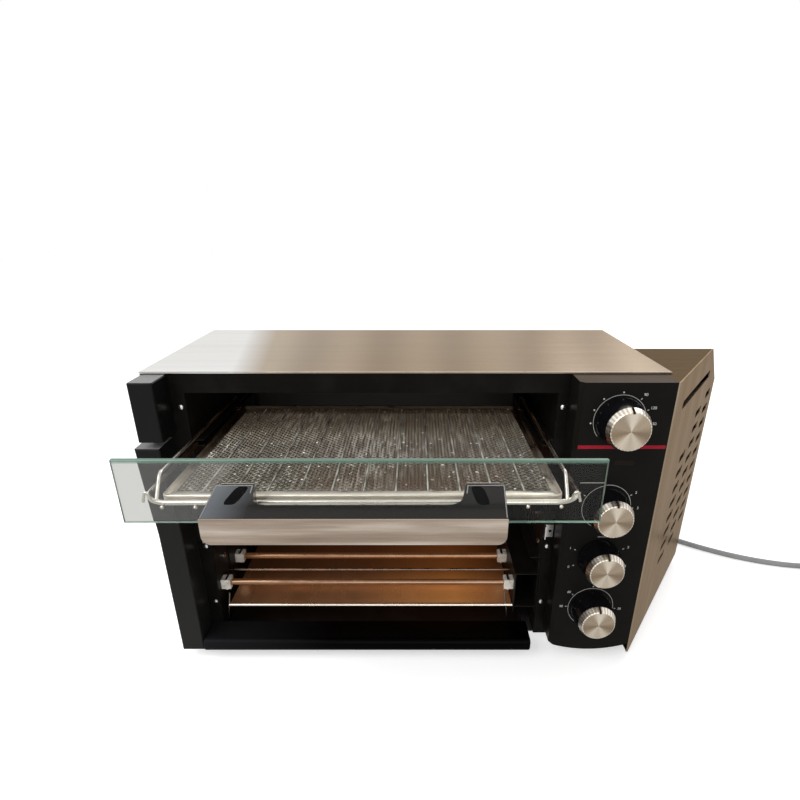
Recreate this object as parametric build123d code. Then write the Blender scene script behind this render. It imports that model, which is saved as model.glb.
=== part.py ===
from build123d import *
import math
import os

# Air fryer oven with a pull-out glass-fronted rack drawer and a pull-out crumb tray.
# Millimetres. X runs to the control side, Y to the back, Z up.
# While it is drawn, x = 0 is the drawer's centre line, y = 0 is the face of the front frame
# and z = 0 is the table. export_piece() then moves each piece, so that the origin lies
# under the middle of the oven.

# Sheet metal and clearances
SHEET = 1.0
FRAME_SHEET = 2.0
SLIDE_GAP = 0.3
SHAFT_GAP = 0.05

# Casing
LEFT_STILE = 37.0
RIGHT_STILE = 98.0
CASING_DEPTH = 250.0
CASING_TOP = 298.0
CREST_DEPTH = 214.0
REAR_DROP = 30.0
CREST_RADIUS = 14.0
LOUVRE_HEIGHT = 4.0
BACK_LOUVRE_LENGTH = 60.0
BACK_LOUVRE_X = (-110.0, -30.0, 215.0)
BACK_LOUVRE_TOP = 238.0
BACK_LOUVRE_PITCH = 12.0
SIDE_LOUVRE_LENGTH = 56.0
SIDE_LOUVRE_OFFSET = 78.0
SIDE_LOUVRE_PITCH = 9.0
BASE_LOUVRE_Y = 200.0
BASE_LOUVRE_LENGTH = 30.0
BASE_LOUVRE_PITCH = 16.0
BASE_LOUVRES = 5
COVER_OVERHANG = 1.5
FOOT_HEIGHT = 10.0
FOOT_RADIUS = 11.0
FOOT_INSET = 24.0

# Mouth and cavity
MOUTH_HALF = 168.0
MOUTH_TOP = 279.0
CAVITY_DEPTH = 238.0
CAVITY_TOP = 280.0
ROOF_BEND_DEPTH = 204.0
ROOF_BEND_DROP = 28.0

# Posts and control fascia in front of the frame
NOSE_DEPTH = 31.0
POST_GAP = 13.0
POST_WIDTH = 22.0
POST_FOOT = 13.0
POST_SLOT_LOW = 237.0
POST_SLOT_HIGH = 243.0
POST_TOP = 296.0
POST_FLARE = 5.0
POST_FLARE_START = 150.0
FRAME_SCREW_HEIGHTS = (266.0, 120.0, 52.0)
CATCH_LOW = 131.0
CATCH_HIGH = 145.0
FASCIA_GAP = 10.0
FASCIA_WIDTH = 82.0
FASCIA_TOP = 296.5
FASCIA_FOOT = 21.0
FASCIA_SAG = 7.0
FASCIA_WALL = 2.5
FASCIA_BEVEL = 4.0
STRIPE_Z = 239.0
STRIPE_HEIGHT = 3.2
STRIPE_THICK = 0.8

# Vented pod on the control side
POD_SPLAY = 130.0
POD_BACK = 165.0
POD_TOP_BACK = 107.0
POD_SHOULDER = 250.0
POD_SHEET = 1.2
VENT_LENGTH = 31.0
VENT_HEIGHT = 7.5
VENT_PITCH = 17.5
VENT_PLACES = (100.0, 150.0, 200.0)
VENT_TOPS = (197.0, 232.0, 241.0)
VENT_LOWEST = 74.0
LONG_SLOT_Z = 268.0
LONG_SLOT_START = 34.0
LONG_SLOT_LENGTH = 146.0
LONG_SLOT_HEIGHT = 8.0

# Pull-out drawer, drawn where it stands open
DRAWER_OPEN = 120.0
GLASS_LAP = 8.5
GLASS_BOTTOM = 216.0
GLASS_TOP = 266.5
GLASS_THICK = 4.0
GLASS_FRONT = -128.0
RACK_Z = 230.5
RACK_SIDE_GAP = 1.0
RACK_BACK = 113.0
RACK_WIRE = 2.0
RACK_CORNER = 20.0
GRID_WIRE = 1.25
GRID_WELD = 0.4
GRID_PITCH = 24.6
GRID_COUNT = 13
GUARD_INSET = 11.2
GUARD_WIRE = 1.4
GUARD_RISE = 17.0
GUARD_SLOPE = 14.0
STOP_WIRE = 1.1
STOP_HALF = 3.4
STOP_RISE = 11.5
TRAY_SIDE_GAP = 0.9
TRAY_FRONT = -116.0
TRAY_BACK = 110.0
TRAY_SHEET = 0.8
TRAY_RIM = 5.0
TRAY_CORNER = 6.0
TRAY_SLOT_COLUMNS = 16
TRAY_SLOT_ROWS = 9
TRAY_BORDER = 9.0
TRAY_WEB = 5.0

# Handle
HANDLE_HALF = 99.0
HANDLE_BACK_HALF = 104.0
HANDLE_TOP = 247.2
HANDLE_HEIGHT = 18.4
HANDLE_REACH = 53.0
HANDLE_BAR_DEPTH = 21.0
HANDLE_GRIP_HALF = 70.0
HANDLE_GRIP_RADIUS = 13.0
HANDLE_FACE_THICK = 1.5
HANDLE_FACE_RADIUS = 6.0
HANDLE_SCREW_X = 89.0
HANDLE_SCREW_RADIUS = 2.5
HANDLE_THREAD = 14.0
BOLT_HOLE_RADIUS = 2.9
BRACKET_HALF = 12.0
BRACKET_SHEET = 1.2

# Crumb tray and its black front
CRUMB_GAP_LEFT = 4.0
CRUMB_GAP_RIGHT = 13.0
CRUMB_DEPTH = 228.0
CRUMB_RIM = 10.0
CRUMB_CORNER = 5.0
SILL_GAP_RIGHT = 9.0
SILL_TOP = 26.0
SILL_DEPTH = 33.0
SILL_RADIUS = 5.0

# Side racks, heaters and reflector
RAIL_REACH = 10.0
LEDGE_Z = (104.0, 158.0)
LEDGE_UPSTAND = 7.0
REFLECTOR_LEDGE = 6.0
STRAP_WIDTH = 12.0
STRAP_FRONT_LEFT = 43.0
STRAP_FRONT_RIGHT = 3.0
STRAP_BACK = 206.0
DUCT_WIDTH = 24.0
DUCT_BOTTOM = 36.0
DUCT_TOP = 84.0
HEATER_RADIUS = 3.3
LOWER_HEATER_Z = 67.0
LOWER_HEATER_Y = (14.0, 67.0)
GUARD_ROD_Y = 38.0
GUARD_ROD_RADIUS = 1.6
UPPER_HEATER_Z = 268.0
UPPER_HEATER_Y = (70.0, 160.0)
INSULATOR_LENGTH = 10.0
INSULATOR_SIZE = 11.0
REFLECTOR_Z = 44.0
REFLECTOR_GAP = 8.0
REFLECTOR_RIM = 3.5
REFLECTOR_DEPTH = 222.0
REFLECTOR_SLOT_LENGTH = 46.0
REFLECTOR_SLOT_COLUMNS = 4
REFLECTOR_SLOT_ROWS = 3

# Convection fan on the control side wall
FAN_Y = 72.0
FAN_Z = 150.0
FAN_RADIUS = 50.0
FAN_WIDTH = 12.0
FAN_BLADES = 8
FAN_BLADE_START = 14.0
FAN_HOUSING_RADIUS = 58.0
FAN_HOUSING_DEPTH = 22.0
FAN_SHAFT_RADIUS = 3.0
FAN_SHAFT_REACH = 15.0
COOLING_RADIUS = 34.0
COOLING_WIDTH = 10.0
COOLING_GAP = 11.0
MOTOR_RADIUS = 23.0
MOTOR_LENGTH = 40.0
MOTOR_CORE_START = 12.0
MOTOR_CORE_STACK = 16.0
MOTOR_CORE_HALF = 27.0
MOTOR_CORE_DROP = 32.0
MOTOR_CORE_RISE = 24.0
GRILLE_HOLE = 4.0
GRILLE_RINGS = 3
GRILLE_STEP = 13.0

# Knobs and rotary controls: name, height above the table, body width, height and depth
KNOB_INSET = 37.0
KNOB_SKIRT_LENGTH = 22.0
KNOB_CAP_LENGTH = 7.0
KNOB_FASCIA_GAP = 1.0
SHAFT_RADIUS = 3.0
SHAFT_IN_CONTROL = 9.0
SHAFT_IN_KNOB = 17.0
CONTROLS = {
    "temperature": (263.5, 19.0, 40.0, 30.0, 26.0),
    "function": (180.0, 17.9, 42.0, 42.0, 24.0),
    "element": (126.0, 17.9, 36.0, 36.0, 22.0),
    "timer": (67.5, 17.9, 46.0, 46.0, 30.0),
}

# Mains lead
CORD_RADIUS = 3.5
CORD_Y = 214.0
CORD_Z = 40.0
GLAND_LENGTH = 26.0
CORD_LIFT = 0.1
COIL_CENTRE = (584.0, 100.0)
COIL_RADIUS = 42.5
COIL_STEP = 7.6
COIL_LAYER = 7.6
COIL_HALF_TURNS = 7
COIL_TAIL = 16.0
PLUG_LENGTH = 38.0
PLUG_NECK = 12.0
PLUG_RADIUS = 11.0
PLUG_HALF_WIDTH = 12.5
PIN_LENGTH = 16.0
PIN_SPACING = 12.7
PIN_THICK = 1.5
PIN_WIDTH = 6.3

# Places across the oven, worked out from the width of its mouth
CASING_LEFT = MOUTH_HALF + LEFT_STILE
CASING_RIGHT = MOUTH_HALF + RIGHT_STILE
POST_INNER = MOUTH_HALF + POST_GAP
FASCIA_LEFT = MOUTH_HALF + FASCIA_GAP
FASCIA_RIGHT = FASCIA_LEFT + FASCIA_WIDTH
POD_CORNER_X = FASCIA_RIGHT + POD_SPLAY
KNOB_X = FASCIA_LEFT + KNOB_INSET
GLASS_HALF = MOUTH_HALF + GLASS_LAP
CRUMB_LEFT = MOUTH_HALF - CRUMB_GAP_LEFT
CRUMB_RIGHT = MOUTH_HALF - CRUMB_GAP_RIGHT
SILL_RIGHT = MOUTH_HALF - SILL_GAP_RIGHT
REFLECTOR_LEFT = MOUTH_HALF - REFLECTOR_GAP
COOLING_X = CASING_RIGHT + COOLING_GAP
FAN_SHAFT_END = COOLING_X + FAN_SHAFT_REACH

# The origin is under the middle of the oven, lead left out
POD_RUN = POD_CORNER_X - FASCIA_RIGHT
POD_RISE = POD_BACK + NOSE_DEPTH
POD_SHEET_ACROSS = POD_SHEET * math.hypot(POD_RUN, POD_RISE) / POD_RISE
OVEN_LEFT = max(CASING_LEFT, POST_INNER + POST_WIDTH + POST_FLARE)
OVEN_RIGHT = POD_CORNER_X + POD_SHEET_ACROSS
OVEN_FRONT = GLASS_FRONT - HANDLE_REACH
ORIGIN = Vector((OVEN_RIGHT - OVEN_LEFT) / 2, (OVEN_FRONT + CASING_DEPTH) / 2, 0)

BASE_TOP = FOOT_HEIGHT + SHEET
REAR_SLOPE = REAR_DROP / (CASING_DEPTH - CREST_DEPTH)
COVER_UNDER = CASING_TOP - SHEET
GLASS_BACK = GLASS_FRONT + GLASS_THICK
BRACKET_BACK = GLASS_BACK + BRACKET_SHEET
HANDLE_BOTTOM = HANDLE_TOP - HANDLE_HEIGHT
HANDLE_MIDDLE = (HANDLE_TOP + HANDLE_BOTTOM) / 2
RACK_HALF = MOUTH_HALF - SHEET - RACK_WIRE - RACK_SIDE_GAP
GUARD_HALF = RACK_HALF - GUARD_INSET
TRAY_HALF = GUARD_HALF - GUARD_WIRE - TRAY_SIDE_GAP
SKIN_LEFT = CASING_LEFT - SHEET
SKIN_RIGHT = CASING_RIGHT - SHEET


def export_piece(shape, name):
    """Write one piece, moved so that the origin is under the middle of the oven."""
    export_step(Pos(-ORIGIN.X, -ORIGIN.Y, 0) * shape, f"parts/{name}.step")


def block(x0, x1, y0, y1, z0, z1):
    """A straight block between two corners."""
    middle = Pos((x0 + x1) / 2, (y0 + y1) / 2, (z0 + z1) / 2)
    return middle * Box(x1 - x0, y1 - y0, z1 - z0)


def outline(points):
    """A closed face through points in the plane it is drawn in."""
    return make_face(Polyline(*points, close=True))


def along_x(face, x0, x1):
    """Extrude a face drawn with (y, z) points from x0 to x1."""
    return extrude(Plane.YZ.offset(x0) * face, amount=x1 - x0)


def along_y(face, y0, y1):
    """Extrude a face drawn with (x, z) points from y0 to y1."""
    return extrude(Plane.XZ.offset(-y1) * face, amount=y1 - y0)


def along_z(face, z0, z1):
    """Extrude a face drawn with (x, y) points from z0 to z1."""
    return extrude(Plane.XY.offset(z0) * face, amount=z1 - z0)


def rod_x(radius, x0, x1, y, z):
    """A round rod along X."""
    return Pos((x0 + x1) / 2, y, z) * Rot(0, 90, 0) * Cylinder(radius, x1 - x0)


def rod_y(radius, y0, y1, x, z):
    """A round rod along Y."""
    return Pos(x, (y0 + y1) / 2, z) * Rot(90, 0, 0) * Cylinder(radius, y1 - y0)


def rod_z(radius, z0, z1, x, y):
    """A round rod along Z."""
    return Pos(x, y, (z0 + z1) / 2) * Cylinder(radius, z1 - z0)


def wire_along(path, radius):
    """A round wire swept along a path of lines and arcs."""
    start = Plane(origin=path @ 0, z_dir=path % 0)
    return sweep(start * Circle(radius), path=path)


def cover_crest(inset):
    """Depth at which the casing's top starts to fall, this far inside its outer skin."""
    return CREST_DEPTH - inset * (math.hypot(1, REAR_SLOPE) - 1) / REAR_SLOPE


def cover_height(depth, inset):
    """Height of the sloping back of the casing's top at a depth."""
    return CASING_TOP - inset - (depth - cover_crest(inset)) * REAR_SLOPE


def casing_outline(front, back, bottom, inset):
    """Side view of the casing, inset from the outer skin, its top rounded where it falls."""
    high = CASING_TOP - inset
    low = cover_height(back, inset)
    crest = cover_crest(inset)
    face = outline([(front, bottom), (back, bottom), (back, low), (crest, high), (front, high)])
    bend = face.vertices().sort_by_distance((crest, high, 0))[0]
    return fillet(bend, CREST_RADIUS - inset)


def top_cover():
    """One bent sheet: flat top, then the slope down to the back."""
    skin = casing_outline(-COVER_OVERHANG, CASING_DEPTH, FOOT_HEIGHT, 0)
    under = casing_outline(-COVER_OVERHANG - 1, CASING_DEPTH + 1, FOOT_HEIGHT - 1, SHEET)
    export_piece(along_x(skin - under, -CASING_LEFT, CASING_RIGHT), "top_cover")


def side_panels():
    """Flat casing sides under the cover; the control side lets air through to the pod."""
    face = casing_outline(0, CASING_DEPTH - SHEET, FOOT_HEIGHT, SHEET)
    left = along_x(face, -CASING_LEFT, -SKIN_LEFT)
    right = along_x(face, SKIN_RIGHT, CASING_RIGHT)
    slot = Rot(0, 90, 0) * extrude(SlotOverall(SIDE_LOUVRE_LENGTH, LOUVRE_HEIGHT, rotation=90), 3, both=True)
    slots = [
        Pos(SKIN_RIGHT, FAN_Y, FAN_Z + side * SIDE_LOUVRE_OFFSET + step * SIDE_LOUVRE_PITCH) * slot
        for side in (-1, 1)
        for step in (-1, 0, 1)
    ]
    right -= slots
    right -= rod_x(FAN_SHAFT_RADIUS + 2, SKIN_RIGHT - 1, CASING_RIGHT + 1, FAN_Y, FAN_Z)
    right -= rod_x(CORD_RADIUS + 2.5, SKIN_RIGHT - 1, CASING_RIGHT + 1, CORD_Y, CORD_Z)
    export_piece(left, "left_side_panel")
    export_piece(right, "right_side_panel")


def back_panel():
    """Flat back with two fields of louvre slots."""
    height = cover_height(CASING_DEPTH, SHEET)
    panel = block(-CASING_LEFT, CASING_RIGHT, CASING_DEPTH - SHEET, CASING_DEPTH, FOOT_HEIGHT, height)
    slot = Rot(90, 0, 0) * extrude(SlotOverall(BACK_LOUVRE_LENGTH, LOUVRE_HEIGHT), 3, both=True)
    slots = [
        Pos(x, CASING_DEPTH, BACK_LOUVRE_TOP - row * BACK_LOUVRE_PITCH) * slot
        for x in BACK_LOUVRE_X
        for row in range(5)
    ]
    export_piece(panel - slots, "back_panel")


def base_plate():
    """Bottom sheet with cooling slots under the electrical side."""
    plate = block(-SKIN_LEFT, SKIN_RIGHT, FRAME_SHEET, CASING_DEPTH - SHEET, FOOT_HEIGHT, BASE_TOP)
    slot = extrude(SlotOverall(BASE_LOUVRE_LENGTH, LOUVRE_HEIGHT, rotation=90), 3, both=True)
    slots = [
        Pos(MOUTH_HALF + 12 + step * BASE_LOUVRE_PITCH, BASE_LOUVRE_Y, FOOT_HEIGHT) * slot
        for step in range(BASE_LOUVRES)
    ]
    export_piece(plate - slots, "base_plate")


def feet():
    """Four turned rubber feet under the base plate."""
    profile = outline([
        (0, 0),
        (FOOT_RADIUS - 1, 0),
        (FOOT_RADIUS, 1),
        (FOOT_RADIUS - 2, FOOT_HEIGHT),
        (0, FOOT_HEIGHT),
    ])
    foot = revolve(Plane.XZ * profile, Axis.Z)
    places = [
        (x, y)
        for x in (FOOT_INSET - CASING_LEFT, CASING_RIGHT - FOOT_INSET)
        for y in (FOOT_INSET, CASING_DEPTH - FOOT_INSET)
    ]
    export_piece(Compound(children=[Pos(x, y, 0) * foot for x, y in places]), "feet")


def front_frame():
    """Stamped frame round the mouth; its wide stile carries the controls."""
    frame = block(-SKIN_LEFT, SKIN_RIGHT, 0, FRAME_SHEET, FOOT_HEIGHT, COVER_UNDER)
    frame -= block(-MOUTH_HALF, MOUTH_HALF, -1, FRAME_SHEET + 1, FOOT_HEIGHT - 1, MOUTH_TOP)
    for z, *_ in CONTROLS.values():
        frame -= rod_y(SHAFT_RADIUS + 2, -1, FRAME_SHEET + 1, KNOB_X, z)
    export_piece(frame, "front_frame")


def frame_screws():
    """Pan-head screws that show on the two stiles beside the mouth."""
    stile = (MOUTH_HALF + FASCIA_LEFT) / 2
    head = revolve(outline([(0, 0), (2.6, 0), (2.2, -1.1), (0, -1.6)]), Axis.Y)
    heads = [Pos(side * stile, 0, z) * head for side in (-1, 1) for z in FRAME_SCREW_HEIGHTS]
    export_piece(Compound(children=heads), "frame_screws")


def left_posts():
    """The two blocks of the left post, with a dark slot between them."""
    outer = -(POST_INNER + POST_WIDTH)
    upper = block(outer, -POST_INNER, -NOSE_DEPTH, 0, POST_SLOT_HIGH, POST_TOP)
    rounded = upper.edges().filter_by(Axis.Z).sort_by(Axis.Y)[:2]
    upper = fillet(rounded, 2.0)
    upper = chamfer(upper.faces().sort_by(Axis.Z)[-1].edges(), 0.8)
    lower_face = outline([
        (outer, POST_FOOT),
        (-POST_INNER, POST_FOOT),
        (-POST_INNER, POST_FLARE_START),
        (-POST_INNER - POST_FLARE, POST_SLOT_LOW),
        (outer - POST_FLARE, POST_SLOT_LOW),
        (outer, POST_FLARE_START),
    ])
    lower = along_y(lower_face, -NOSE_DEPTH, 0)
    lower = chamfer(lower.faces().sort_by(Axis.Y)[0].edges(), 0.8)
    export_piece(upper, "left_post_upper")
    export_piece(lower, "left_post_lower")


def fascia_outline(inset):
    """Front view of the control fascia: straight sides and a bottom edge that sags."""
    left = FASCIA_LEFT + inset
    right = FASCIA_RIGHT - inset
    foot = FASCIA_FOOT + inset
    middle = (FASCIA_LEFT + FASCIA_RIGHT) / 2
    edges = Polyline((left, foot), (left, FASCIA_TOP - inset), (right, FASCIA_TOP - inset), (right, foot))
    edges += ThreePointArc((right, foot), (middle, foot - FASCIA_SAG), (left, foot))
    return make_face(edges)


def control_fascia():
    """Moulded fascia, open at the back, with a bevelled inner edge and a bore for each shaft."""
    body = along_y(fascia_outline(0), -NOSE_DEPTH, 0)
    front = body.faces().sort_by(Axis.Y)[0]
    bevel = front.edges().filter_by(Axis.Z).sort_by(Axis.X)[0]
    body = chamfer(bevel, FASCIA_BEVEL)
    body -= along_y(fascia_outline(FASCIA_WALL), FASCIA_WALL + FASCIA_BEVEL - NOSE_DEPTH, 1)
    for z, *_ in CONTROLS.values():
        body -= rod_y(SHAFT_RADIUS + 2, -NOSE_DEPTH - 1, 1, KNOB_X, z)
    stripe_low = STRIPE_Z - STRIPE_HEIGHT / 2
    stripe_high = STRIPE_Z + STRIPE_HEIGHT / 2
    stripe_left = FASCIA_LEFT + FASCIA_BEVEL
    stripe_back = STRIPE_THICK - NOSE_DEPTH
    stripe = block(stripe_left, FASCIA_RIGHT - 1, -NOSE_DEPTH, stripe_back, stripe_low, stripe_high)
    body -= stripe
    export_piece(body, "control_fascia")
    export_piece(stripe, "red_stripe")


def pod_plan():
    """Plan of the space behind the splayed sheet, closed by fascia, casing and back."""
    return outline([
        (FASCIA_RIGHT, -NOSE_DEPTH),
        (POD_CORNER_X, POD_BACK),
        (CASING_RIGHT, POD_BACK),
        (CASING_RIGHT, 0),
        (FASCIA_RIGHT, 0),
    ])


def pod_outline(inset):
    """Side view of the pod, whose back leans in to meet the shorter top."""
    low = FOOT_HEIGHT + inset
    high = FASCIA_TOP - inset
    back = POD_BACK - inset
    return outline([
        (-NOSE_DEPTH, low),
        (-NOSE_DEPTH, high),
        (POD_TOP_BACK - inset / 2, high),
        (back, POD_SHOULDER - inset / 2),
        (back, low),
    ])


def pod_side_panel():
    """The splayed, vented side sheet: staggered slots that run front to back."""
    plan = outline([
        (FASCIA_RIGHT, -NOSE_DEPTH),
        (FASCIA_RIGHT + POD_SHEET_ACROSS, -NOSE_DEPTH),
        (OVEN_RIGHT, POD_BACK),
        (POD_CORNER_X, POD_BACK),
    ])
    sheet = along_z(plan, FOOT_HEIGHT, FASCIA_TOP) & along_x(pod_outline(0), FASCIA_RIGHT, OVEN_RIGHT)
    along = Vector(POD_RUN, POD_RISE, 0).normalized()
    plane = Plane(origin=(FASCIA_RIGHT, -NOSE_DEPTH, 0), x_dir=along, z_dir=Vector(along.Y, -along.X, 0))
    vents = Sketch() + [
        Pos(place, top - row * VENT_PITCH) * SlotOverall(VENT_LENGTH, VENT_HEIGHT)
        for place, top in zip(VENT_PLACES, VENT_TOPS)
        for row in range(1 + int((top - VENT_LOWEST) / VENT_PITCH))
    ]
    long_slot = SlotOverall(LONG_SLOT_LENGTH, LONG_SLOT_HEIGHT)
    vents += Pos(LONG_SLOT_START + LONG_SLOT_LENGTH / 2, LONG_SLOT_Z) * long_slot
    cut = extrude(plane * vents, amount=2 * POD_SHEET, both=True)
    export_piece(sheet - cut, "pod_side_panel")


def pod_shell():
    """Top, and the folded back and bottom, that close the pod behind its vented sheet."""
    skin = along_x(pod_outline(0) - pod_outline(POD_SHEET), FASCIA_RIGHT, POD_CORNER_X)
    skin &= along_z(pod_plan(), FOOT_HEIGHT, FASCIA_TOP)
    under = FASCIA_TOP - POD_SHEET
    lid = block(FASCIA_RIGHT, POD_CORNER_X, -NOSE_DEPTH, POD_BACK, under, FASCIA_TOP)
    export_piece(skin & lid, "pod_top")
    export_piece(skin - lid, "pod_back")


def cavity_outline(inset):
    """Side view of the cavity: flat roof with a bent-down back."""
    roof = CAVITY_TOP + inset
    back = CAVITY_DEPTH + inset
    bend = ROOF_BEND_DEPTH + inset / 2
    return outline([
        (FRAME_SHEET, roof),
        (bend, roof),
        (back, roof - ROOF_BEND_DROP),
        (back, BASE_TOP),
        (FRAME_SHEET, BASE_TOP),
    ])


def cavity_liner():
    """Roof and back in one bent sheet, and two side sheets; one side has the fan grille."""
    skin = cavity_outline(SHEET)
    export_piece(along_x(skin - cavity_outline(0), -MOUTH_HALF, MOUTH_HALF), "cavity_roof_and_back")
    left = along_x(skin, -MOUTH_HALF - SHEET, -MOUTH_HALF)
    right = along_x(skin, MOUTH_HALF, MOUTH_HALF + SHEET)
    holes = [rod_x(GRILLE_HOLE, MOUTH_HALF - 1, MOUTH_HALF + 2, FAN_Y, FAN_Z)]
    for ring in range(1, GRILLE_RINGS + 1):
        count = 6 * ring
        for hole in range(count):
            angle = math.tau * hole / count
            y = FAN_Y + ring * GRILLE_STEP * math.cos(angle)
            z = FAN_Z + ring * GRILLE_STEP * math.sin(angle)
            holes.append(rod_x(GRILLE_HOLE, MOUTH_HALF - 1, MOUTH_HALF + 2, y, z))
    export_piece(left, "cavity_left_wall")
    export_piece(right - holes, "cavity_right_wall")


def side_rack(side):
    """Straps with a channel for the drawer wire and two plain ledges, drawn for the right wall."""
    wall = MOUTH_HALF
    face = wall - SHEET
    reach = wall - RAIL_REACH
    front = STRAP_FRONT_RIGHT if side > 0 else STRAP_FRONT_LEFT
    back = STRAP_BACK + STRAP_WIDTH
    low = RACK_Z - RACK_WIRE - SLIDE_GAP
    high = RACK_Z + RACK_WIRE + SLIDE_GAP
    rack = block(face, wall, FRAME_SHEET, CAVITY_DEPTH, low - SHEET, high + SHEET)
    rack += block(reach, face, FRAME_SHEET, CAVITY_DEPTH, low - SHEET, low)
    rack += block(reach, face, FRAME_SHEET, CAVITY_DEPTH, high, high + SHEET)
    foot = DUCT_BOTTOM if side > 0 else REFLECTOR_Z - SHEET
    for y in (front, STRAP_BACK):
        rack += block(face, wall, y, y + STRAP_WIDTH, foot, low - SHEET)
    for z in LEDGE_Z:
        rack += block(reach, face, front, back, z, z + SHEET)
        rack += block(face, wall, front, back, z, z + LEDGE_UPSTAND)
    if side > 0:
        rack += heater_duct()
    else:
        rack += block(reach - REFLECTOR_LEDGE, wall, front, back, REFLECTOR_Z - SHEET, REFLECTOR_Z)
        rack = mirror(rack, Plane.YZ)
    return rack


def heater_duct():
    """Sheet duct over the heater tails on the control side, with a ledge for the reflector."""
    wall = MOUTH_HALF
    inner = wall - DUCT_WIDTH
    duct = block(inner, inner + SHEET, FRAME_SHEET, CAVITY_DEPTH, DUCT_BOTTOM, DUCT_TOP)
    duct += block(inner, wall, FRAME_SHEET, CAVITY_DEPTH, DUCT_TOP, DUCT_TOP + SHEET)
    duct += block(inner - REFLECTOR_LEDGE, wall, FRAME_SHEET, CAVITY_DEPTH, REFLECTOR_Z - SHEET, REFLECTOR_Z)
    return duct


def side_racks():
    export_piece(side_rack(-1), "side_rack_left")
    export_piece(side_rack(1), "side_rack_right")


def insulator(x, y, z):
    """One square ceramic end block that starts at x."""
    half = INSULATOR_SIZE / 2
    return block(x, x + INSULATOR_LENGTH, y - half, y + half, z - half, z + half)


def heater_pair(right, depths, z):
    """Sheathed rods between the left wall and the right end, with their end blocks."""
    left = -MOUTH_HALF
    end = right - INSULATOR_LENGTH
    rods = [rod_x(HEATER_RADIUS, left + INSULATOR_LENGTH, end, y, z) for y in depths]
    blocks = [insulator(x, y, z) for x in (left, end) for y in depths]
    return rods, blocks


def heaters():
    """Upper and lower pairs of sheathed rods in ceramic end blocks, and the steel guard rod."""
    duct = MOUTH_HALF - DUCT_WIDTH
    lower, lower_blocks = heater_pair(duct, LOWER_HEATER_Y, LOWER_HEATER_Z)
    upper, upper_blocks = heater_pair(MOUTH_HALF, UPPER_HEATER_Y, UPPER_HEATER_Z)
    guard = rod_x(GUARD_ROD_RADIUS, -MOUTH_HALF, duct, GUARD_ROD_Y, LOWER_HEATER_Z)
    export_piece(Compound(children=lower), "lower_heaters")
    export_piece(Compound(children=upper), "upper_heaters")
    export_piece(Compound(children=lower_blocks + upper_blocks), "heater_insulators")
    export_piece(guard, "heater_guard_rod")


def bottom_reflector():
    """Bright sheet under the lower heaters, with a rolled rim at the front and crumb slots."""
    left = -REFLECTOR_LEFT
    right = MOUTH_HALF - DUCT_WIDTH - 1
    sheet = block(left, right, FRAME_SHEET, REFLECTOR_DEPTH, REFLECTOR_Z, REFLECTOR_Z + SHEET)
    sheet += rod_x(REFLECTOR_RIM / 2, left, right, FRAME_SHEET, REFLECTOR_Z + REFLECTOR_RIM / 2)
    slot = extrude(SlotOverall(REFLECTOR_SLOT_LENGTH, 5), 3, both=True)
    pitch = (right - left) / REFLECTOR_SLOT_COLUMNS
    row_pitch = (REFLECTOR_DEPTH - LOWER_HEATER_Y[1]) / (REFLECTOR_SLOT_ROWS + 1)
    slots = [
        Pos(left + (column + 0.5) * pitch, REFLECTOR_DEPTH - row * row_pitch, REFLECTOR_Z) * slot
        for column in range(REFLECTOR_SLOT_COLUMNS)
        for row in range(1, REFLECTOR_SLOT_ROWS + 1)
    ]
    export_piece(sheet - slots, "bottom_reflector")


def catch_plate():
    """Small folded strike plate on the control-side stile."""
    x = (MOUTH_HALF + FASCIA_LEFT) / 2
    plate = block(MOUTH_HALF, FASCIA_LEFT - 1, -SHEET, 0, CATCH_LOW, CATCH_HIGH)
    plate += block(MOUTH_HALF, MOUTH_HALF + SHEET, -6, 0, CATCH_LOW, CATCH_HIGH)
    plate -= rod_y(1.6, -7, 1, x + 1, (CATCH_LOW + CATCH_HIGH) / 2)
    export_piece(plate, "catch_plate")


def fan_unit():
    """Convection fan in its sheet cup, motor behind it, cooling fan out in the pod."""
    cup_x = MOUTH_HALF + SHEET
    cup_end = cup_x + FAN_HOUSING_DEPTH
    cup = rod_x(FAN_HOUSING_RADIUS, cup_x, cup_end, FAN_Y, FAN_Z)
    cup -= rod_x(FAN_HOUSING_RADIUS - SHEET, cup_x - 1, cup_end - SHEET, FAN_Y, FAN_Z)
    cup -= rod_x(FAN_SHAFT_RADIUS + 2, cup_x, cup_end + 1, FAN_Y, FAN_Z)
    motor = rod_x(MOTOR_RADIUS, cup_end, cup_end + MOTOR_LENGTH, FAN_Y, FAN_Z)
    start = cup_end + MOTOR_CORE_START
    half = MOTOR_CORE_HALF
    low = FAN_Z - MOTOR_CORE_DROP
    high = FAN_Z + MOTOR_CORE_RISE
    core = block(start, start + MOTOR_CORE_STACK, FAN_Y - half, FAN_Y + half, low, high)
    bore = rod_x(FAN_SHAFT_RADIUS + SHAFT_GAP, cup_end - 1, cup_end + MOTOR_LENGTH + 1, FAN_Y, FAN_Z)
    shaft = rod_x(FAN_SHAFT_RADIUS, cup_x + 4, FAN_SHAFT_END, FAN_Y, FAN_Z)
    export_piece(cup, "fan_housing")
    export_piece(motor + core - bore, "fan_motor")
    export_piece(shaft, "fan_shaft")
    export_piece(fan_wheel(FAN_RADIUS, FAN_WIDTH, cup_x + 5, FAN_BLADES), "convection_fan")
    export_piece(fan_wheel(COOLING_RADIUS, COOLING_WIDTH, COOLING_X, FAN_BLADES - 2), "cooling_fan")


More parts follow.
